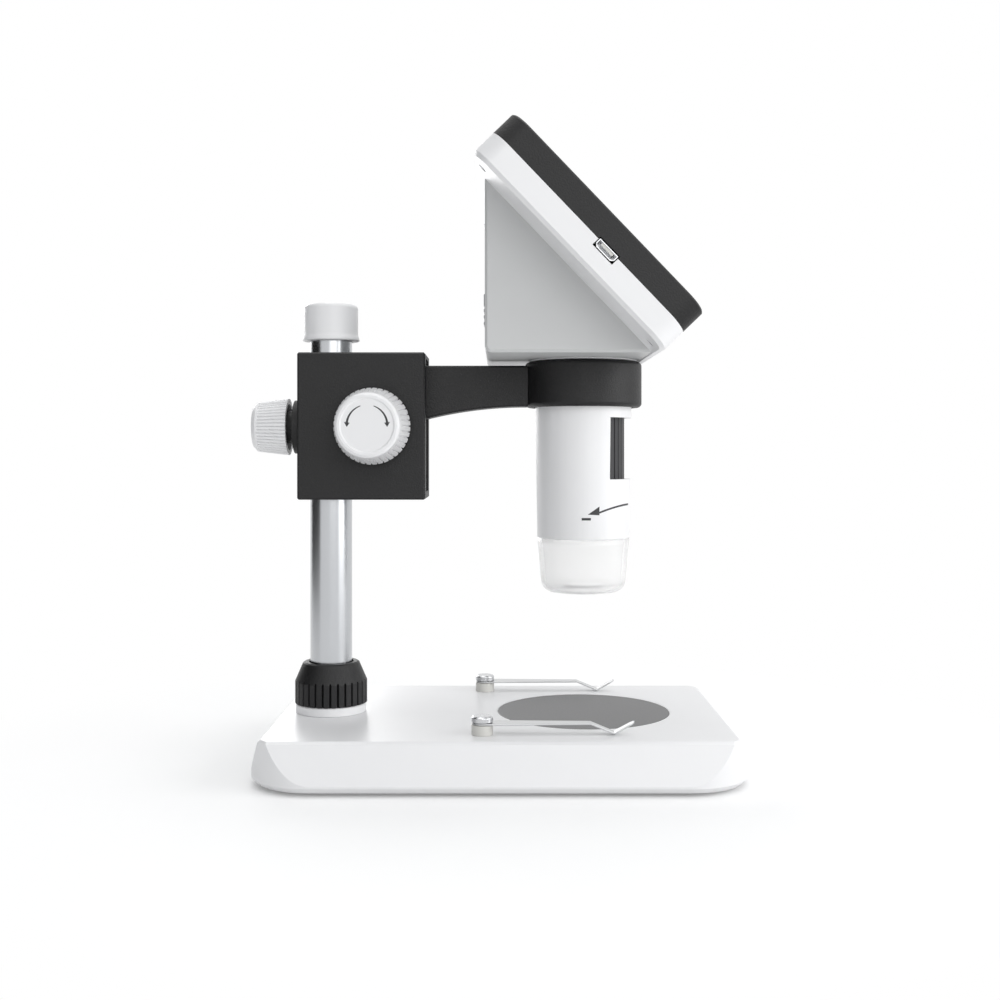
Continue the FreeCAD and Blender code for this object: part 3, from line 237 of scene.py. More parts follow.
def two_tone(tree, share, first, second):
    """A socket with a mix of two colours by the share that a socket gives."""
    mixed = add_node(tree, "ShaderNodeMixRGB", {"Fac": share, "Color1": first, "Color2": second})
    return mixed.outputs["Color"]


def clouded(tree, colour, tone):
    """A socket with a colour that soft clouds make darker by a share."""
    cloud = noise(tree, cloud_size_mm, detail=cloud_detail)
    return two_tone(tree, cloud.outputs["Fac"], colour, darker(colour, tone))


def relief_normal(tree, pattern, relief_mm):
    """A socket with the normal of a surface whose relief follows a pattern."""
    relief = add_node(tree, "ShaderNodeBump", {
        "Height": pattern.outputs["Fac"],
        "Distance": relief_mm * MM,
    })
    return relief.outputs["Normal"]


def patterned_shader(tree, colour, pattern, relief_mm, roughness, spread, **more):
    """A shader with its colour from a socket, and with a relief and a gloss that follow a pattern."""
    gloss = add_node(tree, "ShaderNodeMapRange", {
        "Value": pattern.outputs["Fac"],
        "To Min": roughness - spread,
        "To Max": roughness + spread,
    })
    return add_node(tree, "ShaderNodeBsdfPrincipled", {
        "Base Color": colour,
        "Roughness": gloss.outputs["Result"],
        "Normal": relief_normal(tree, pattern, relief_mm),
        **more,
    })


def moulded_plastic(name, colour, grain_mm, relief_mm, roughness, spread, tone, ior=plastic_ior):
    """Injection-moulded plastic: an almost even colour under a fine grain."""
    made, tree = new_material(name)
    grain = noise(tree, grain_mm)
    clouds = clouded(tree, colour, tone)
    finish_material(tree, patterned_shader(tree, clouds, grain, relief_mm, roughness, spread, IOR=ior))
    return made


def worked_metal(name, colour, line_mm, stretch, relief_mm, roughness, spread):
    """Bare metal with the fine lines of its rolling, drawing or turning."""
    made, tree = new_material(name)
    lines = noise(tree, line_mm, stretch, line_detail)
    clouds = clouded(tree, colour, metal_tone)
    finish_material(tree, patterned_shader(tree, clouds, lines, relief_mm, roughness, spread, Metallic=1.0))
    return made


def clear_solid(name, colour, wave_mm, relief_mm, roughness, clearness, ior, glow=0.0):
    """A clear moulding or lens with the faint waves of its mould. A glow is painted light: the solid gives
    out light of its own.
    """
    made, tree = new_material(name)
    waves = noise(tree, wave_mm, detail=wave_detail)
    shader = add_node(tree, "ShaderNodeBsdfPrincipled", {
        "Base Color": colour,
        "IOR": ior,
        "Roughness": roughness,
        "Transmission Weight": clearness,
        "Emission Color": linear("#FFFFFF"),
        # Painted light: this emission makes the solid glow though it is no lamp
        "Emission Strength": glow,
        "Normal": relief_normal(tree, waves, relief_mm),
    })
    finish_material(tree, shader)
    return made


def white_abs():
    """White ABS from a satin mould: soft, even gloss with a barely visible grain."""
    return moulded_plastic("white_abs_satin_moulded", settings().white_colour, grain_mm=0.5, relief_mm=0.004,
                           roughness=0.34, spread=0.05, tone=0.02)


def head_abs():
    """Painted ABS of the head's sides: a soft, slightly greyer white than the case."""
    return moulded_plastic("head_abs_painted", settings().head_colour, grain_mm=0.6, relief_mm=0.004,
                           roughness=0.42, spread=0.05, tone=0.03)


def black_abs():
    """Black ABS from a spark-eroded mould: a fine matte grain that greys its highlights."""
    return moulded_plastic("black_abs_grained", settings().black_colour, grain_mm=0.55, relief_mm=0.11,
                           roughness=0.5, spread=0.13, tone=0.35, ior=black_ior)


def wheel_abs():
    """Black ABS of the focus wheel: dark grey on its ridges, with painted shade that darkens its grooves to
    near black.
    """
    made, tree = new_material("wheel_abs_ribbed")
    low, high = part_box("focus_wheel")
    ridge = (high.x - low.x) / 2
    place = add_node(tree, "ShaderNodeTexCoord")
    flat = add_node(tree, "ShaderNodeMapping", {
        "Vector": place.outputs["Object"],
        "Location": (-(low.x + high.x) / 2, 0.0, 0.0),
        "Scale": (1.0, 1.0, 0.0),
    })
    reach = add_node(tree, "ShaderNodeVectorMath", {0: flat.outputs["Vector"]}, operation="LENGTH")
    # Painted shade: the colour goes from the ridges' dark grey to near black over the grooves' depth, by
    # distance from the wheel's axis
    groove_shade = add_node(tree, "ShaderNodeMapRange", {
        "Value": reach.outputs["Value"],
        "From Min": ridge - groove_shade_depth_mm * MM,
        "From Max": ridge,
    })
    ridges_and_painted_groove_shade = two_tone(tree, groove_shade.outputs["Result"], linear("#030303"), linear("#2A2A2D"))
    shader = patterned_shader(tree, ridges_and_painted_groove_shade, noise(tree, wheel_grain_mm), relief_mm=0.01,
                              roughness=0.45, spread=0.06, IOR=black_ior)
    finish_material(tree, shader)
    return made


def stage_plastic():
    """Dark grey ABS of the stage: matte, so that the specimen doesn't glare."""
    return moulded_plastic("stage_abs_matte", settings().stage_colour, grain_mm=0.6, relief_mm=0.012,
                           roughness=0.34, spread=0.05, tone=0.06)


def pale_acetal():
    """Natural acetal of the bushes, sleeves and pads: a waxy off-white."""
    return moulded_plastic("pale_acetal_turned", linear("#D6D5D0"), grain_mm=1.2, relief_mm=0.004,
                           roughness=0.36, spread=0.05, tone=0.04)


def key_plastic():
    """Light grey ABS of the keys: a little glossier where fingers polish it."""
    return moulded_plastic("key_abs_satin", linear("#B9BABC"), grain_mm=0.5, relief_mm=0.004,
                           roughness=0.3, spread=0.06, tone=0.03)


def black_rubber():
    """Moulded rubber of the feet: dull, with a dusty tone."""
    return moulded_plastic("black_rubber_moulded", linear("#232323"), grain_mm=0.8, relief_mm=0.02,
                           roughness=0.78, spread=0.08, tone=0.1)


def window_acrylic():
    """Hard-coated acrylic: a black printed border round the dark grey of a display that is off."""
    made, tree = new_material("window_acrylic_coated")
    low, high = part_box("screen_window")
    slope = -math.radians(screen_slope_deg)
    turn = Matrix.Rotation(slope, 3, "Y")
    place = add_node(tree, "ShaderNodeTexCoord")
    level = add_node(tree, "ShaderNodeMapping", {
        "Vector": place.outputs["Object"],
        "Location": -(turn @ ((low + high) / 2)),
        "Rotation": (0.0, slope, 0.0),
    })
    sides = add_node(tree, "ShaderNodeVectorMath", {0: level.outputs["Vector"]}, operation="ABSOLUTE")
    parts = add_node(tree, "ShaderNodeSeparateXYZ", {"Vector": sides.outputs["Vector"]})
    inside = []
    for axis, size_mm in (("X", display_length_mm), ("Y", display_width_mm)):
        limits = {0: parts.outputs[axis], 1: size_mm * MM / 2}
        inside.append(add_node(tree, "ShaderNodeMath", limits, operation="LESS_THAN"))
    display = add_node(tree, "ShaderNodeMath", {
        0: inside[0].outputs[0],
        1: inside[1].outputs[0],
    }, operation="MULTIPLY")
    face = two_tone(tree, display.outputs[0], linear("#060607"), linear("#1B1D21"))
    shader = patterned_shader(tree, face, noise(tree, window_wave_mm), relief_mm=0.0006,
                              roughness=0.07, spread=0.02, IOR=acrylic_ior)
    finish_material(tree, shader)
    return made


def board_lacquer():
    """Green solder mask over glass-epoxy board."""
    return moulded_plastic("board_solder_mask", linear("#0F4A2A"), grain_mm=0.4, relief_mm=0.006,
                           roughness=0.35, spread=0.08, tone=0.15)


def lamp_board_lacquer():
    """White solder mask of the lamp board, which throws the lamps' light forward."""
    return moulded_plastic("lamp_board_mask_white", linear("#F2F2F0"), grain_mm=0.4, relief_mm=0.004,
                           roughness=0.38, spread=0.06, tone=0.04)


def contact_gold():
    """Gold flash on the socket's stamped contacts."""
    return worked_metal("contact_gold_plated", linear("#D9B45A"), line_mm=0.1, stretch=(1.0, 0.05, 1.0),
                        relief_mm=0.001, roughness=0.24, spread=0.05)


def panel_back():
    """The display panel's dark metal-and-film body."""
    return moulded_plastic("panel_film", linear("#1B1D22"), grain_mm=1.0, relief_mm=0.002,
                           roughness=0.25, spread=0.05, tone=0.1)


def lamp_resin():
    """The lamps' resin over yellow phosphor."""
    return moulded_plastic("lamp_resin_cast", linear("#F1E6A4"), grain_mm=0.4, relief_mm=0.002,
                           roughness=0.18, spread=0.04, tone=0.08)


def printed_ink():
    """Dark grey pad-printed ink of the arrows and signs."""
    return moulded_plastic("printed_ink_grey", linear("#2F2F31"), grain_mm=0.3, relief_mm=0.002,
                           roughness=0.45, spread=0.05, tone=0.08)


def flag_felt():
    """Black felt of the studio card: it throws no light back."""
    return moulded_plastic("flag_felt_black", linear("#101010"), grain_mm=1.0, relief_mm=0.05,
                           roughness=0.9, spread=0.05, tone=0.2, ior=black_ior)


def post_steel():
    """Chromed steel tube, drawn along its length: soft mirror with faint upright lines."""
    return worked_metal("post_steel_chromed", linear("#C2C4C7"), line_mm=0.25, stretch=(1.0, 1.0, 0.02),
                        relief_mm=0.0008, roughness=0.24, spread=0.04)


def turned_steel():
    """Turned steel of the pins and screws: bright, with the fine marks of the cutting tool."""
    return worked_metal("steel_turned", linear("#C9CACC"), line_mm=0.15, stretch=(0.1, 0.1, 1.0),
                        relief_mm=0.002, roughness=0.27, spread=0.06)


def spring_steel():
    """Rolled spring strip with lines along its length."""
    return worked_metal("spring_steel_rolled", linear("#C6C7C8"), line_mm=0.18, stretch=(0.04, 1.0, 1.0),
                        relief_mm=0.002, roughness=0.3, spread=0.06)


def ballast_steel():
    """Zinc-plated steel plate with a cloudy spangle."""
    return worked_metal("ballast_steel_zinc", linear("#9EA1A4"), line_mm=3.0, stretch=(1.0, 1.0, 1.0),
                        relief_mm=0.004, roughness=0.42, spread=0.1)


def turned_brass():
    """Turned brass of the threaded inserts."""
    return worked_metal("brass_turned", linear("#C9A350"), line_mm=0.15, stretch=(0.1, 0.1, 1.0),
                        relief_mm=0.002, roughness=0.3, spread=0.06)


def cell_foil():
    """The aluminium pouch of the lithium cell, slightly creased."""
    return worked_metal("aluminium_pouch", linear("#B8BABD"), line_mm=5.0, stretch=(1.0, 1.0, 1.0),
                        relief_mm=0.05, roughness=0.35, spread=0.08)


def clear_acrylic():
    """Frosted acrylic of the tip: milky bright from a faint painted glow of its own, and greyer at its
    edges.
    """
    # Painted glow: the tip gives out a faint light of its own
    return clear_solid("tip_acrylic_frosted", linear("#FFFFFF"), wave_mm=4.0, relief_mm=0.002,
                       roughness=0.2, clearness=0.72, ior=acrylic_ior, glow=0.05)


def lens_glass():
    """Polished and coated optical glass."""
    return clear_solid("objective_glass_polished", linear("#EEF3F7"), wave_mm=8.0, relief_mm=0.0002,
                       roughness=0.01, clearness=1.0, ior=glass_ior)


MATERIAL_MAKERS = {
    "white_plastic": white_abs,
    "head_plastic": head_abs,
    "black_plastic": black_abs,
    "wheel_plastic": wheel_abs,
    "stage_plastic": stage_plastic,
    "pale_plastic": pale_acetal,
    "key_plastic": key_plastic,
    "rubber": black_rubber,
    "window_plastic": window_acrylic,
    "board": board_lacquer,
    "lamp_board": lamp_board_lacquer,
    "contact": contact_gold,
    "lcd": panel_back,
    "lamp": lamp_resin,
    "ink": printed_ink,
    "flag": flag_felt,
    "post": post_steel,
    "steel": turned_steel,
    "spring_steel": spring_steel,
    "plate_steel": ballast_steel,
    "brass": turned_brass,
    "cell_foil": cell_foil,
    "clear_plastic": clear_acrylic,
    "lens_glass": lens_glass,
}
MADE = {}


def material(name):
    """A finish by its name, made once."""
    if name not in MADE:
        MADE[name] = MATERIAL_MAKERS[name]()
    return MADE[name]


# Pieces

def link(piece):
    """Puts a new object into the scene."""
    bpy.context.scene.collection.objects.link(piece)
    return piece


def plain_mesh(piece):
    """Turns an object's modifiers into its mesh and takes them off."""
    bpy.context.view_layer.update()
    seen = piece.evaluated_get(bpy.context.evaluated_depsgraph_get())
    mesh = bpy.data.meshes.new_from_object(seen)
    mesh.name = piece.name
    piece.modifiers.clear()
    piece.data = mesh
    return piece


def welded_form(node):
    """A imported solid's faces, welded into closed shells."""
    if node not in frame["nodes"]:
        raise RuntimeError(f"the packed model has no piece named {node}")
    form = bmesh.new()
    form.from_mesh(frame["nodes"][node].data)
    bmesh.ops.remove_doubles(form, verts=form.verts, dist=weld_mm * MM)
    return form


def mark_outer_edges(form):
    """Gives a bevel weight to the bent edges on a moulding's outside, not to its holes and ribs."""
    hull = form.copy()
    found = bmesh.ops.convex_hull(hull, input=hull.verts)
    inner = {item.index for item in found["geom_interior"] if isinstance(item, bmesh.types.BMVert)}
    inner |= {item.index for item in found["geom_unused"] if isinstance(item, bmesh.types.BMVert)}
    hull.free()
    weight = form.edges.layers.float.new("bevel_weight_edge")
    for edge in form.edges:
        outside = all(vert.index not in inner for vert in edge.verts)
        if outside and len(edge.link_faces) == 2 and edge.calc_face_angle() > edge_angle:
            edge[weight] = 1.0


def softened_copy(node, softness, finish, outer_only=False):
    """A solid's copy: welded, its flat faces joined, its edges softened, in its real finish."""
    form = welded_form(node)
    if softness > 0.0:
        bmesh.ops.dissolve_limit(form, angle_limit=flat_angle, verts=form.verts, edges=form.edges)
    form.verts.index_update()
    if outer_only:
        mark_outer_edges(form)
    for face in form.faces:
        face.smooth = True
    mesh = bpy.data.meshes.new(f"{node}_finish")
    form.to_mesh(mesh)
    form.free()
    piece = link(bpy.data.objects.new(f"{node}_finish", mesh))
    if softness > 0.0:
        soft = piece.modifiers.new("soft_edges", "BEVEL")
        soft.width = softness
        soft.segments = edge_segments
        soft.limit_method = "WEIGHT" if outer_only else "ANGLE"
        soft.angle_limit = edge_angle
    even = piece.modifiers.new("even_light", "WEIGHTED_NORMAL")
    even.keep_sharp = True
    mesh.set_sharp_from_angle(angle=crease_angle)
    plain_mesh(piece)
    piece.data.materials.clear()
    piece.data.materials.append(material(finish))
    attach(piece, BODY_OF[node])
    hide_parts(node)
    return piece


def finish_solids(choices, softness):
    """Softened copies of several solids. A choice is a node's name and its finish."""
    for node, finish in choices:
        softened_copy(node, softness, finish)


def repaint(node, finish):
    """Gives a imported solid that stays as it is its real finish."""
    mesh = frame["nodes"][node].data
    mesh.materials.clear()
    mesh.materials.append(material(finish))


def new_piece(name, form, body, finish):
    """A piece of the scene's own from a bmesh, riding on a body."""
    bmesh.ops.remove_doubles(form, verts=form.verts, dist=weld_mm * MM)
    bmesh.ops.recalc_face_normals(form, faces=form.faces)
    mesh = bpy.data.meshes.new(name)
    form.to_mesh(mesh)
    form.free()
    mesh.materials.append(material(finish))
    piece = link(bpy.data.objects.new(name, mesh))
    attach(piece, body)


# Marks, lamps, screws and contacts

def swept_mark(form, points, place):
    """Adds a flat mark's outline as a thin solid; place maps an outline point and a lift to space."""
    low = [form.verts.new(place(u, v, -mark_sink_mm)) for u, v in points]
    top = [form.verts.new(place(u, v, mark_lift_mm)) for u, v in points]
    form.faces.new(top)
    form.faces.new(list(reversed(low)))
    for index in range(len(points)):
        after = (index + 1) % len(points)
        form.faces.new((low[index], low[after], top[after], top[index]))


def strip_outlines(stations):
    """The outlines between a strip's stations, each a place along it with a low and a high side."""
    for (a, low_a, high_a), (b, low_b, high_b) in zip(stations, stations[1:]):
        yield [(a, low_a), (a, high_a), (b, high_b), (b, low_b)]


def lock_arrow_outlines(side):
    """The outlines of one bent arrow, in angles and radii: a bar that widens from its tail, and a head."""
    tail = side * math.radians(arrow_tail_deg)
    neck = side * math.radians(arrow_neck_deg)
    tip = side * math.radians(arrow_tip_deg)
    bar = []
    for step in range(arrow_steps + 1):
        half = arrow_width_mm / 2 * (tail_share + (1.0 - tail_share) * step / arrow_steps)
        angle = tail + (neck - tail) * step / arrow_steps
        bar.append((angle, arrow_radius_mm - half, arrow_radius_mm + half))
    yield from strip_outlines(bar)
    half = arrow_head_mm / 2
    yield [(neck, arrow_radius_mm - half), (tip, arrow_radius_mm), (neck, arrow_radius_mm + half)]


def lock_arrows():
    """Two bent arrows on the lock knob's face that show which way it opens and closes."""
    low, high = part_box("lock_knob")
    middle_x = (low.x + high.x) / 2
    middle_z = (low.z + high.z) / 2
    face_y = low.y + dish_depth_mm * MM

    def on_face(angle, radius, lift):
        x = middle_x + radius * MM * math.sin(angle)
        return Vector((x, face_y - lift * MM, middle_z + radius * MM * math.cos(angle)))

    form = bmesh.new()
    for side in (-1, 1):
        for outline in lock_arrow_outlines(side):
            swept_mark(form, outline, on_face)
    new_piece("lock_arrows", form, "lock_knob", "ink")


def focus_arrow_outlines():
    """The outlines of one arrow by the wheel, in angles and heights: a bent line, and a head in slices."""
    start = math.radians(focus_arrow_start_deg)
    end = math.radians(focus_arrow_end_deg)
    line = []
    for step in range(arrow_steps + 1):
        share = step / arrow_steps
        height = focus_arrow_top_mm - focus_arrow_fall_mm * share ** focus_arrow_bend
        half = focus_line_mm / 2
        line.append((start + (end - start) * share, height - half, height + half))
    yield from strip_outlines(line)
    head = []
    for step in range(head_steps + 1):
        share = step / head_steps
        height = focus_arrow_top_mm - focus_arrow_fall_mm + focus_head_lean_mm * (0.5 - share)
        half = focus_head_mm / 2 * (1.0 - share) + head_point_mm
        head.append((end - math.radians(focus_head_deg) * share, height - half, height + half))
    yield from strip_outlines(head)


def sign_outlines(plus):
    """The outlines of the sign under an arrow's head: the bar of a minus, and the posts of a plus."""
    middle = focus_arrow_top_mm - focus_arrow_fall_mm - sign_drop_mm
    half = math.radians(sign_half_deg)
    bar = []
    for step in range(sign_steps + 1):
        angle = -half + 2 * half * step / sign_steps
        bar.append((angle, middle - sign_bar_mm / 2, middle + sign_bar_mm / 2))
    yield from strip_outlines(bar)
    if plus:
        thin = half * sign_bar_mm / sign_arm_mm
        for low, high in ((-sign_arm_mm, -sign_bar_mm / 2), (sign_bar_mm / 2, sign_arm_mm)):
            yield from strip_outlines([(angle, middle + low, middle + high) for angle in (-thin, thin)])


def barrel_side(side):
    """A function that puts an angle, a height and a lift on one side of the tapered barrel."""
    wheel_low, wheel_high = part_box("focus_wheel")
    axis_x = (wheel_low.x + wheel_high.x) / 2
    barrel_low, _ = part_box("barrel_shell")
    ring_low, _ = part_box("holder_ring")
    taper_mm = (ring_low.z - barrel_low.z) / MM - ring_gap_mm

    def on_barrel(angle, height, lift):
        radius = (barrel_end_mm + (barrel_top_mm - barrel_end_mm) * height / taper_mm + lift) * MM
        return Vector((axis_x + radius * math.sin(angle), side * -radius * math.cos(angle),
                       barrel_low.z + height * MM))

    return on_barrel


def focus_marks():
    """Printed arrows beside the wheel's window, over a minus sign on the near side and a plus behind."""
    form = bmesh.new()
    for side in (-1, 1):
        place = barrel_side(side)
        for outline in (*focus_arrow_outlines(), *sign_outlines(plus=side < 0)):
            swept_mark(form, outline, place)
    new_piece("focus_marks", form, "scope", "ink")


def new_tree(name, inputs):
    """A node tree that gives out geometry, its input node, and the identifiers of its named inputs."""
    tree = bpy.data.node_groups.new(name, "GeometryNodeTree")
    tree.interface.new_socket("Geometry", in_out="OUTPUT", socket_type="NodeSocketGeometry")
    identifiers = {}
    for label, kind in inputs.items():
        socket = tree.interface.new_socket(label, in_out="INPUT", socket_type=f"NodeSocket{kind}")
        identifiers[label] = socket.identifier
    return tree, add_node(tree, "NodeGroupInput"), identifiers


def finish_tree(tree, instances, finish):
    """Makes a tree's instances real, in their finish, and leads them out of it."""
    real = add_node(tree, "GeometryNodeRealizeInstances", {"Geometry": instances.outputs["Instances"]})
    painted = add_node(tree, "GeometryNodeSetMaterial", {
        "Geometry": real.outputs["Geometry"],
        "Material": finish,
    })
    add_node(tree, "NodeGroupOutput", {"Geometry": painted.outputs["Geometry"]})


def ring_tree(name):
    """A node tree that sets copies of a domed disc evenly round a circle."""
    tree, given, identifiers = new_tree(name, {
        "Count": "Int",
        "Ring Radius": "Float",
        "Lamp Radius": "Float",
        "Flatness": "Float",
        "Finish": "Material",
    })
    circle = add_node(tree, "GeometryNodeMeshCircle", {
        "Vertices": given.outputs["Count"],
        "Radius": given.outputs["Ring Radius"],
    })
    dome = add_node(tree, "GeometryNodeMeshUVSphere", {
        "Segments": lamp_segments,
        "Rings": lamp_rings,
        "Radius": given.outputs["Lamp Radius"],
    })
    size = add_node(tree, "ShaderNodeCombineXYZ", {"X": 1.0, "Y": 1.0, "Z": given.outputs["Flatness"]})
    flat = add_node(tree, "GeometryNodeTransform", {
        "Geometry": dome.outputs["Mesh"],
        "Scale": size.outputs["Vector"],
    })
    spread = add_node(tree, "GeometryNodeInstanceOnPoints", {
        "Points": circle.outputs["Mesh"],
        "Instance": flat.outputs["Geometry"],
    })
    finish_tree(tree, spread, given.outputs["Finish"])
    return tree, identifiers


def cross_tree(name):
    """A node tree that sets a turned cross on each point of a mesh, to cut a screw's recess."""
    tree, given, identifiers = new_tree(name, {
        "Heads": "Geometry",
        "Slot Length": "Float",
        "Slot Width": "Float",
        "Slot Depth": "Float",
        "Tilt": "Float",
        "Finish": "Material",
    })
    joined = add_node(tree, "GeometryNodeJoinGeometry")
    for first, second in (("Slot Length", "Slot Width"), ("Slot Width", "Slot Length")):
        size = add_node(tree, "ShaderNodeCombineXYZ", {
            "X": given.outputs[first],
            "Y": given.outputs[second],
            "Z": given.outputs["Slot Depth"],
        })
        bar = add_node(tree, "GeometryNodeMeshCube", {"Size": size.outputs["Vector"]})
        tree.links.new(bar.outputs["Mesh"], joined.inputs[0])
    angle = add_node(tree, "ShaderNodeCombineXYZ", {"Y": given.outputs["Tilt"]})
    turn = add_node(tree, "FunctionNodeEulerToRotation", {"Euler": angle.outputs["Vector"]})
    spread = add_node(tree, "GeometryNodeInstanceOnPoints", {
        "Points": given.outputs["Heads"],
        "Instance": joined.outputs["Geometry"],
        "Rotation": turn.outputs["Rotation"],
    })
    finish_tree(tree, spread, given.outputs["Finish"])
    return tree, identifiers


def row_tree(name):
    """A node tree that lays equal strips side by side in a row round the origin."""
    tree, given, identifiers = new_tree(name, {
        "Count": "Int",
        "Pitch": "Float",
        "Row Start": "Float",
        "Strip Size": "Vector",
        "Finish": "Material",
    })
    start = add_node(tree, "ShaderNodeCombineXYZ", {"X": given.outputs["Row Start"]})
    step = add_node(tree, "ShaderNodeCombineXYZ", {"X": given.outputs["Pitch"]})
    line = add_node(tree, "GeometryNodeMeshLine", {
        "Count": given.outputs["Count"],
        "Start Location": start.outputs["Vector"],
        "Offset": step.outputs["Vector"],
    })
    strip = add_node(tree, "GeometryNodeMeshCube", {"Size": given.outputs["Strip Size"]})
    spread = add_node(tree, "GeometryNodeInstanceOnPoints", {
        "Points": line.outputs["Mesh"],
        "Instance": strip.outputs["Mesh"],
    })
    finish_tree(tree, spread, given.outputs["Finish"])
    return tree, identifiers


def grown_mesh(name, make_tree, values, points=()):
    """An object whose plain mesh a node tree grows from named values, on points if it needs any."""
    mesh = bpy.data.meshes.new(name)
    mesh.from_pydata(points, [], [])
    piece = link(bpy.data.objects.new(name, mesh))
    grower = piece.modifiers.new("grow", "NODES")
    grower.node_group, identifiers = make_tree(name)
    for label, value in values.items():
        grower[identifiers[label]] = value
    return plain_mesh(piece)


def grown(name, make_tree, values, place, smooth):
    """A grown piece, moved to its place, riding on the microscope."""
    piece = grown_mesh(name, make_tree, values)
    piece.data.transform(place)
    for face in piece.data.polygons:
        face.use_smooth = smooth
    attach(piece, "scope")


def shells(form):
    """The vertices of each separate shell in a form, always in the same order."""
    left = dict.fromkeys(form.verts)
    while left:
        shell = [left.popitem()[0]]
        for vert in shell:
            for edge in vert.link_edges:
                other = edge.other_vert(vert)
                if other in left:
                    del left[other]
                    shell.append(other)
        yield shell


def head_middles(node, outward):
    """The middle of each screw head's face, for screws that share a node and a direction."""
    form = welded_form(node)
    middles = []
    for shell in shells(form):
        reach = max(vert.co.dot(outward) for vert in shell)
        rim = [vert.co for vert in shell if reach - vert.co.dot(outward) < weld_mm * MM]
        middles.append(sum(rim, Vector()) / len(rim))
    form.free()
    return sorted(middles, key=lambda place: (place.x, place.y))


def recessed_screws(node, tilt_deg):
    """Steel screws with a cross recess cut into each head."""
    tilt = math.radians(tilt_deg)
    outward = Vector((math.sin(tilt), 0.0, math.cos(tilt)))
    cutter = grown_mesh(f"{node}_recess", cross_tree, {
        "Slot Length": recess_length_mm * MM,
        "Slot Width": recess_width_mm * MM,
        "Slot Depth": 2 * recess_depth_mm * MM,
        "Tilt": tilt,
        "Finish": material("steel"),
    }, head_middles(node, outward))
    screws = softened_copy(node, 0.0, "steel")
    cut = screws.modifiers.new("recess", "BOOLEAN")
    cut.operation = "DIFFERENCE"
    cut.solver = "EXACT"
    cut.use_self = True
    cut.object = cutter
    plain_mesh(screws)
    bpy.data.objects.remove(cutter)


def socket_tongue():
    """The pale tongue inside the power socket, with its row of gilt contacts."""
    low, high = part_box("usb_socket")
    middle = (low + high) / 2
    turn = Matrix.Rotation(math.radians(screen_slope_deg), 4, "Y")
    lift = turn @ Vector((0.0, 0.0, tongue_lift_mm * MM))
    mouth = Vector((middle.x, low.y + tongue_sink_mm * MM, middle.z)) + lift
    place = Matrix.Translation(mouth) @ turn
    form = bmesh.new()
    bmesh.ops.create_cube(form, size=1.0)
    length = tongue_length_mm * MM
    bmesh.ops.scale(form, verts=form.verts, vec=(tongue_width_mm * MM, length, tongue_thickness_mm * MM))
    bmesh.ops.translate(form, verts=form.verts, vec=(0.0, length / 2, 0.0))
    bmesh.ops.bevel(form, geom=form.edges, offset=tongue_edge_mm * MM, segments=tongue_edge_segments,
                    affect="EDGES")
    bmesh.ops.transform(form, matrix=place, verts=form.verts)
    new_piece("usb_tongue", form, "scope", "pale_plastic")
    size = Vector((contact_width_mm, contact_length_mm, contact_thickness_mm)) * MM
    under = Matrix.Translation((0.0, size.y / 2 + contact_setback_mm * MM, -tongue_thickness_mm * MM / 2))
    grown("usb_contacts", row_tree, {
        "Count": contact_count,
        "Pitch": contact_pitch_mm * MM,
        "Row Start": -contact_pitch_mm * MM * (contact_count - 1) / 2,
        "Strip Size": size,
        "Finish": material("contact"),
    }, place @ under, smooth=False)


def lamp_lenses():
    """The domed lenses of the lamps, in a ring round the objective."""
    low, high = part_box("leds")
    middle = Vector(((low.x + high.x) / 2, 0.0, low.z))
    turn = Matrix.Rotation(math.pi / lamp_count, 4, "Z")
    grown("lamp_lenses", ring_tree, {
        "Count": lamp_count,
        "Ring Radius": lamp_ring_mm * MM,
        "Lamp Radius": lamp_radius_mm * MM,
        "Flatness": lamp_flatness,
        "Finish": material("lamp"),
    }, Matrix.Translation(middle) @ turn, smooth=True)


# The stage for the picture

def area_light(name, place, side, power):
    """A soft square lamp that looks at the object's middle."""
    lamp = bpy.data.lights.new(name, "AREA")
    lamp.shape = "SQUARE"
    lamp.size = side
    lamp.energy = power
    piece = link(bpy.data.objects.new(name, lamp))
    piece.visible_camera = False
    piece.location = place
    piece.rotation_euler = (studio_middle - Vector(place)).to_track_quat("-Z", "Y").to_euler()


def studio_card(name, side, place, finish):
    """A square card of the studio, which isn't part of the object."""
    form = bmesh.new()
    bmesh.ops.create_grid(form, x_segments=1, y_segments=1, size=side / 2)
    bmesh.ops.transform(form, matrix=place, verts=form.verts)
    mesh = bpy.data.meshes.new(name)
    form.to_mesh(mesh)
    form.free()
    mesh.materials.append(finish)
    card = link(bpy.data.objects.new(name, mesh))
    return card


def dark_flag():
    """A black card outside the picture, which the bright metal mirrors as a dark stripe."""
    turn = (flag_target - flag_place).to_track_quat("Z", "Y").to_matrix().to_4x4()
    flag = studio_card("left_flag", flag_side, Matrix.Translation(flag_place) @ turn, material("flag"))
    flag.visible_camera = False
    flag.visible_diffuse = False


def seen_by_eye(tree):
    """A socket that is 1 for rays that the camera, metal or glass send out, and 0 for the rest."""
    ray = add_node(tree, "ShaderNodeLightPath")
    share = ray.outputs["Is Camera Ray"]
    for kind in ("Is Glossy Ray", "Is Transmission Ray"):
        either = add_node(tree, "ShaderNodeMath", {0: share, 1: ray.outputs[kind]}, operation="MAXIMUM")
        share = either.outputs[0]
    return share


def mixed_shader(tree, share, first, second):
    """A mix of two shaders by the share that a socket gives."""
    return add_node(tree, "ShaderNodeMixShader", {0: share, 1: first.outputs[0], 2: second.outputs[0]})


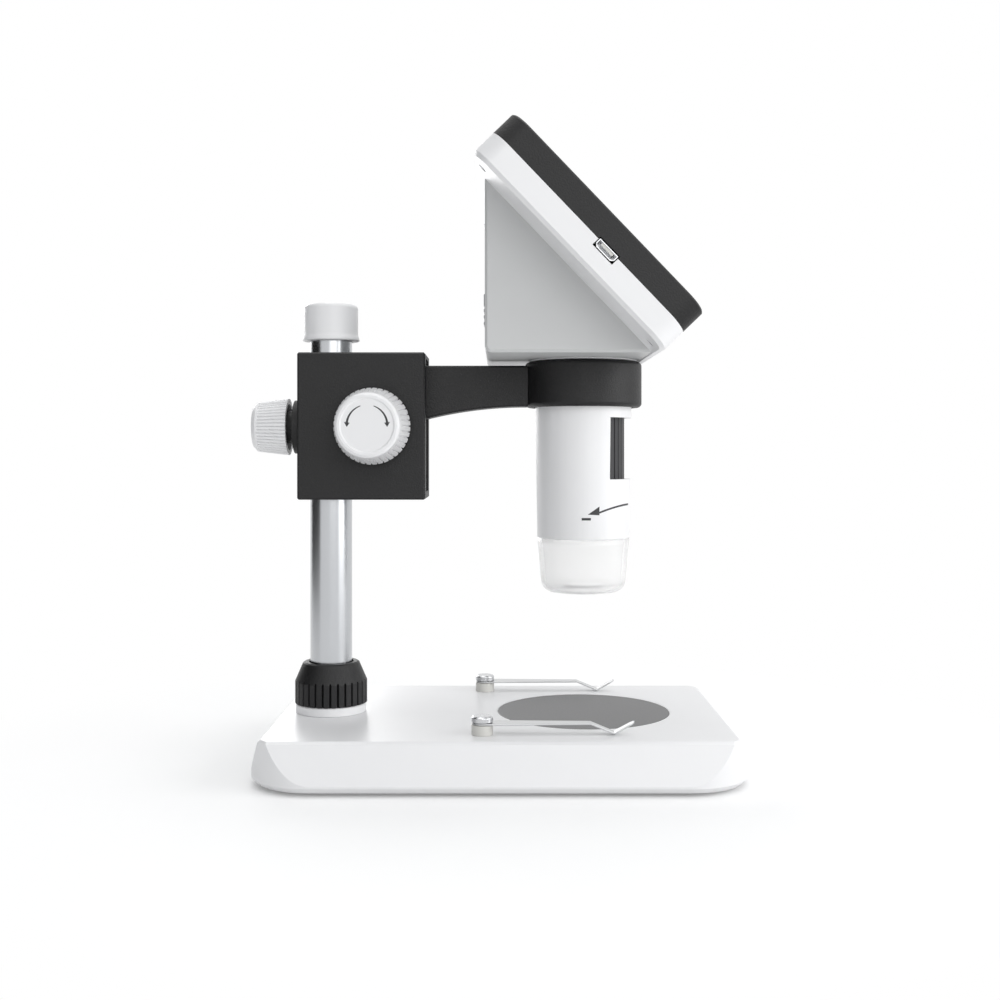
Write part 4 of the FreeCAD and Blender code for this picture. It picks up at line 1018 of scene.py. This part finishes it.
def floor_paper():
    """A pale matt floor that the camera sees near white, with the object's shadow kept."""
    made, tree = new_material("floor_paper")
    paper = add_node(tree, "ShaderNodeBsdfDiffuse", {"Color": linear("#F2F2F2")})
    glow = add_node(tree, "ShaderNodeEmission", {"Color": linear("#FFFFFF"), "Strength": floor_glow})
    white = add_node(tree, "ShaderNodeEmission", {"Color": linear("#FFFFFF"), "Strength": 1.0})
    place = add_node(tree, "ShaderNodeTexCoord")
    reach = add_node(tree, "ShaderNodeVectorMath", {0: place.outputs["Object"]}, operation="LENGTH")
    far = add_node(tree, "ShaderNodeMapRange", {
        "Value": reach.outputs["Value"],
        "From Min": shadow_near,
        "From Max": shadow_far,
    })
    near = add_node(tree, "ShaderNodeAddShader", {0: paper.outputs[0], 1: glow.outputs[0]})
    seen = mixed_shader(tree, far.outputs["Result"], near, white)
    finish_material(tree, mixed_shader(tree, seen_by_eye(tree), paper, seen))
    return made


def studio_world():
    """An even grey sky that the camera, metal and glass see as white."""
    world = bpy.data.worlds.new("studio")
    bpy.context.scene.world = world
    world.use_nodes = True
    tree = world.node_tree
    tree.nodes.clear()
    sky = add_node(tree, "ShaderNodeBackground", {"Color": linear("#F4F6F8"), "Strength": sky_strength})
    white = add_node(tree, "ShaderNodeBackground", {"Color": linear("#FFFFFF"), "Strength": 1.0})
    mixed = mixed_shader(tree, seen_by_eye(tree), sky, white)
    add_node(tree, "ShaderNodeOutputWorld", {"Surface": mixed.outputs[0]})


def photo_camera():
    """The camera: level, looking across the instrument from its near side."""
    lens = bpy.data.cameras.new("photo_camera")
    lens.lens = camera_lens_mm
    lens.sensor_width = camera_sensor_mm
    lens.shift_y = camera_shift
    lens.clip_start = camera_near
    camera = link(bpy.data.objects.new("photo_camera", lens))
    camera.location = (camera_x_mm * MM, camera_y_mm * MM, camera_z_mm * MM)
    camera.rotation_euler = (math.radians(90), 0.0, 0.0)
    bpy.context.scene.camera = camera


# Settings, operators and panel

class MicroscopeLooks(bpy.types.PropertyGroup):
    """What a user would change about the finish."""

    white_colour: bpy.props.FloatVectorProperty(
        name="White plastic", description="Colour of the base, knobs, barrel and screen case",
        size=4, default=linear("#EFEFF0"), min=0.0, max=1.0, subtype="COLOR")
    head_colour: bpy.props.FloatVectorProperty(
        name="Head", description="Colour of the painted wedge behind the screen",
        size=4, default=linear("#CDCECE"), min=0.0, max=1.0, subtype="COLOR")
    black_colour: bpy.props.FloatVectorProperty(
        name="Black plastic", description="Colour of the bracket, arm, ring, collar nut and screen frame",
        size=4, default=linear("#0E0E10"), min=0.0, max=1.0, subtype="COLOR")
    stage_colour: bpy.props.FloatVectorProperty(
        name="Stage", description="Colour of the round stage under the lens",
        size=4, default=linear("#3C3C3E"), min=0.0, max=1.0, subtype="COLOR")
    base_softness: bpy.props.FloatProperty(
        name="Base edge softness", description="Widest rounding of the base's outer edges",
        default=2.2 * MM, min=0.0, max=4.0 * MM, precision=5, unit="LENGTH")
    housing_softness: bpy.props.FloatProperty(
        name="Housing edge softness", description="Rounding of the moulded housings' edges",
        default=0.45 * MM, min=0.0, max=1.0 * MM, precision=5, unit="LENGTH")
    fine_softness: bpy.props.FloatProperty(
        name="Fine edge softness", description="Rounding of small and metal pieces' edges",
        default=0.12 * MM, min=0.0, max=0.5 * MM, precision=5, unit="LENGTH")
    top_light: bpy.props.FloatProperty(
        name="Top light", description="Power of the big soft lamp overhead",
        default=6.0, min=0.0, max=100.0, unit="POWER")
    key_light: bpy.props.FloatProperty(
        name="Key light", description="Power of the soft lamp at the right",
        default=5.0, min=0.0, max=100.0, unit="POWER")
    fill_light: bpy.props.FloatProperty(
        name="Fill light", description="Power of the soft lamp near the camera",
        default=3.0, min=0.0, max=100.0, unit="POWER")
    back_light: bpy.props.FloatProperty(
        name="Back light", description="Power of the lamp at the left back",
        default=1.6, min=0.0, max=100.0, unit="POWER")
    floor_size: bpy.props.FloatProperty(
        name="Floor size", description="Side of the square floor", default=12.0, min=1.0, unit="LENGTH")


def settings():
    """The colours, sizes and powers that the panel shows."""
    return bpy.context.scene.microscope_looks


class MICROSCOPE_OT_stand(bpy.types.Operator):
    """Finish the base, its stage, socket, feet, clips and clip pins"""

    bl_idname = "microscope.stand"
    bl_label = "Finish the stand"

    def execute(self, context):
        looks = settings()
        softened_copy("base_shell", looks.base_softness, "white_plastic", outer_only=True)
        finish_solids([("post_socket", "white_plastic")], looks.housing_softness)
        finish_solids([
            ("stage_disc", "stage_plastic"),
            ("clip_bushes", "pale_plastic"),
            ("clip_pins", "steel"),
            ("spring_clip_near", "spring_steel"),
            ("spring_clip_far", "spring_steel"),
            ("rubber_feet", "rubber"),
            ("base_cover", "white_plastic"),
        ], looks.fine_softness)
        recessed_screws("cover_screws", tilt_deg=180.0)
        return {"FINISHED"}


class MICROSCOPE_OT_post(bpy.types.Operator):
    """Finish the post, its cap and its collar nut"""

    bl_idname = "microscope.post"
    bl_label = "Finish the post"

    def execute(self, context):
        looks = settings()
        finish_solids([("column_cap", "white_plastic")], looks.housing_softness)
        finish_solids([
            ("column_tube", "post"),
            ("collar_nut", "black_plastic"),
            ("column_collet", "pale_plastic"),
        ], looks.fine_softness)
        return {"FINISHED"}


class MICROSCOPE_OT_bracket(bpy.types.Operator):
    """Finish the bracket with its bush, flange, threaded inserts and pads"""

    bl_idname = "microscope.bracket"
    bl_label = "Finish the bracket"

    def execute(self, context):
        looks = settings()
        finish_solids([("bracket_housing", "black_plastic")], looks.housing_softness)
        finish_solids([
            ("column_bush", "pale_plastic"),
            ("rear_flange", "black_plastic"),
            ("rear_insert", "brass"),
            ("lock_insert", "brass"),
            ("rear_clamp_pad", "pale_plastic"),
            ("lock_pad", "pale_plastic"),
        ], looks.fine_softness)
        return {"FINISHED"}


class MICROSCOPE_OT_knobs(bpy.types.Operator):
    """Finish the two clamp knobs and their screws"""

    bl_idname = "microscope.knobs"
    bl_label = "Finish the knobs"

    def execute(self, context):
        finish_solids([
            ("rear_knob", "white_plastic"),
            ("rear_stud", "black_plastic"),
            ("lock_knob", "white_plastic"),
            ("lock_stud", "steel"),
        ], settings().fine_softness)
        lock_arrows()
        return {"FINISHED"}


class MICROSCOPE_OT_arm(bpy.types.Operator):
    """Finish the arm, its slide, the holder ring and the ring's sleeve"""

    bl_idname = "microscope.arm"
    bl_label = "Finish the arm"

    def execute(self, context):
        looks = settings()
        finish_solids([
            ("arm_beam", "black_plastic"),
            ("holder_ring", "black_plastic"),
        ], looks.housing_softness)
        finish_solids([
            ("slide_block", "black_plastic"),
            ("arm_screws", "steel"),
            ("ring_liner", "pale_plastic"),
        ], looks.fine_softness)
        return {"FINISHED"}


class MICROSCOPE_OT_barrel(bpy.types.Operator):
    """Finish the barrel, the focus wheel, the optics and the printed focus marks"""

    bl_idname = "microscope.barrel"
    bl_label = "Finish the barrel"

    def execute(self, context):
        finish_solids([
            ("barrel_shell", "white_plastic"),
            ("focus_wheel", "wheel_plastic"),
            ("lens_cell", "black_plastic"),
        ], settings().fine_softness)
        finish_solids([("objective_lens", "lens_glass")], 0.0)
        focus_marks()
        return {"FINISHED"}


class MICROSCOPE_OT_tip(bpy.types.Operator):
    """Finish the clear tip and the ring of lamps above it"""

    bl_idname = "microscope.tip"
    bl_label = "Finish the clear tip"

    def execute(self, context):
        finish_solids([
            ("clear_cap", "clear_plastic"),
            ("led_board", "lamp_board"),
            ("leds", "lamp"),
        ], 0.0)
        lamp_lenses()
        return {"FINISHED"}


class MICROSCOPE_OT_head(bpy.types.Operator):
    """Finish the wedge-shaped head and its keys"""

    bl_idname = "microscope.head"
    bl_label = "Finish the head"

    def execute(self, context):
        looks = settings()
        finish_solids([("head_housing", "head_plastic")], looks.housing_softness)
        finish_solids([
            ("shutter_key", "key_plastic"),
            ("upper_key", "key_plastic"),
            ("middle_key", "key_plastic"),
            ("lower_key", "key_plastic"),
        ], looks.fine_softness)
        return {"FINISHED"}


class MICROSCOPE_OT_screen(bpy.types.Operator):
    """Finish the screen's bezel, case, window, sockets, wheel and screws"""

    bl_idname = "microscope.screen"
    bl_label = "Finish the screen"

    def execute(self, context):
        looks = settings()
        finish_solids([
            ("bezel", "black_plastic"),
            ("rear_case", "white_plastic"),
        ], looks.housing_softness)
        finish_solids([
            ("screen_window", "window_plastic"),
            ("usb_socket", "steel"),
            ("card_socket", "steel"),
            ("dimmer_wheel", "black_plastic"),
            ("dimmer_pot", "black_plastic"),
        ], looks.fine_softness / 2)
        recessed_screws("case_screws", tilt_deg=180.0 + screen_slope_deg)
        socket_tongue()
        return {"FINISHED"}


class MICROSCOPE_OT_inside(bpy.types.Operator):
    """Give the closed-in pieces their real finishes"""

    bl_idname = "microscope.inside"
    bl_label = "Finish the inner pieces"

    def execute(self, context):
        for node, finish in (
            ("ballast_plate", "plate_steel"),
            ("sensor_board", "board"),
            ("key_board", "board"),
            ("main_board", "board"),
            ("lcd_module", "lcd"),
            ("battery", "cell_foil"),
        ):
            repaint(node, finish)
        return {"FINISHED"}


class MICROSCOPE_OT_studio(bpy.types.Operator):
    """Set the floor, sky, lamps and camera"""

    bl_idname = "microscope.studio"
    bl_label = "Set the studio"

    def execute(self, context):
        looks = settings()
        bpy.context.scene.view_settings.view_transform = "Standard"
        studio_card("floor", looks.floor_size, Matrix.Identity(4), floor_paper())
        studio_world()
        for name, power, place, side in studio_lamps:
            area_light(name, place, side, getattr(looks, power))
        dark_flag()
        photo_camera()
        return {"FINISHED"}


STEPS = (
    MICROSCOPE_OT_stand,
    MICROSCOPE_OT_post,
    MICROSCOPE_OT_bracket,
    MICROSCOPE_OT_knobs,
    MICROSCOPE_OT_arm,
    MICROSCOPE_OT_barrel,
    MICROSCOPE_OT_tip,
    MICROSCOPE_OT_head,
    MICROSCOPE_OT_screen,
    MICROSCOPE_OT_inside,
    MICROSCOPE_OT_studio,
)


class MICROSCOPE_PT_looks(bpy.types.Panel):
    """The sidebar panel with the settings and a button for each piece"""

    bl_idname = "MICROSCOPE_PT_looks"
    bl_label = "Microscope"
    bl_space_type = "VIEW_3D"
    bl_region_type = "UI"
    bl_category = "Microscope"

    def draw(self, context):
        looks = settings()
        for name in looks.__annotations__:
            self.layout.prop(looks, name)
        for step in STEPS:
            self.layout.operator(step.bl_idname)


CLASSES = (MicroscopeLooks, *STEPS, MICROSCOPE_PT_looks)


def register():
    """Registers the classes and the scene's settings."""
    for kind in CLASSES:
        bpy.utils.register_class(kind)
    bpy.types.Scene.microscope_looks = bpy.props.PointerProperty(type=MicroscopeLooks)


def unregister():
    """Takes the settings and the classes away again."""
    del bpy.types.Scene.microscope_looks
    for kind in reversed(CLASSES):
        bpy.utils.unregister_class(kind)


def main():
    """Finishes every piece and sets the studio."""
    register()
    for step in STEPS:
        area, name = step.bl_idname.split(".")
        result = getattr(getattr(bpy.ops, area), name)()
        if "FINISHED" not in result:
            raise RuntimeError(f"{step.bl_label} didn't finish")


if __name__ == "__main__":
    main()
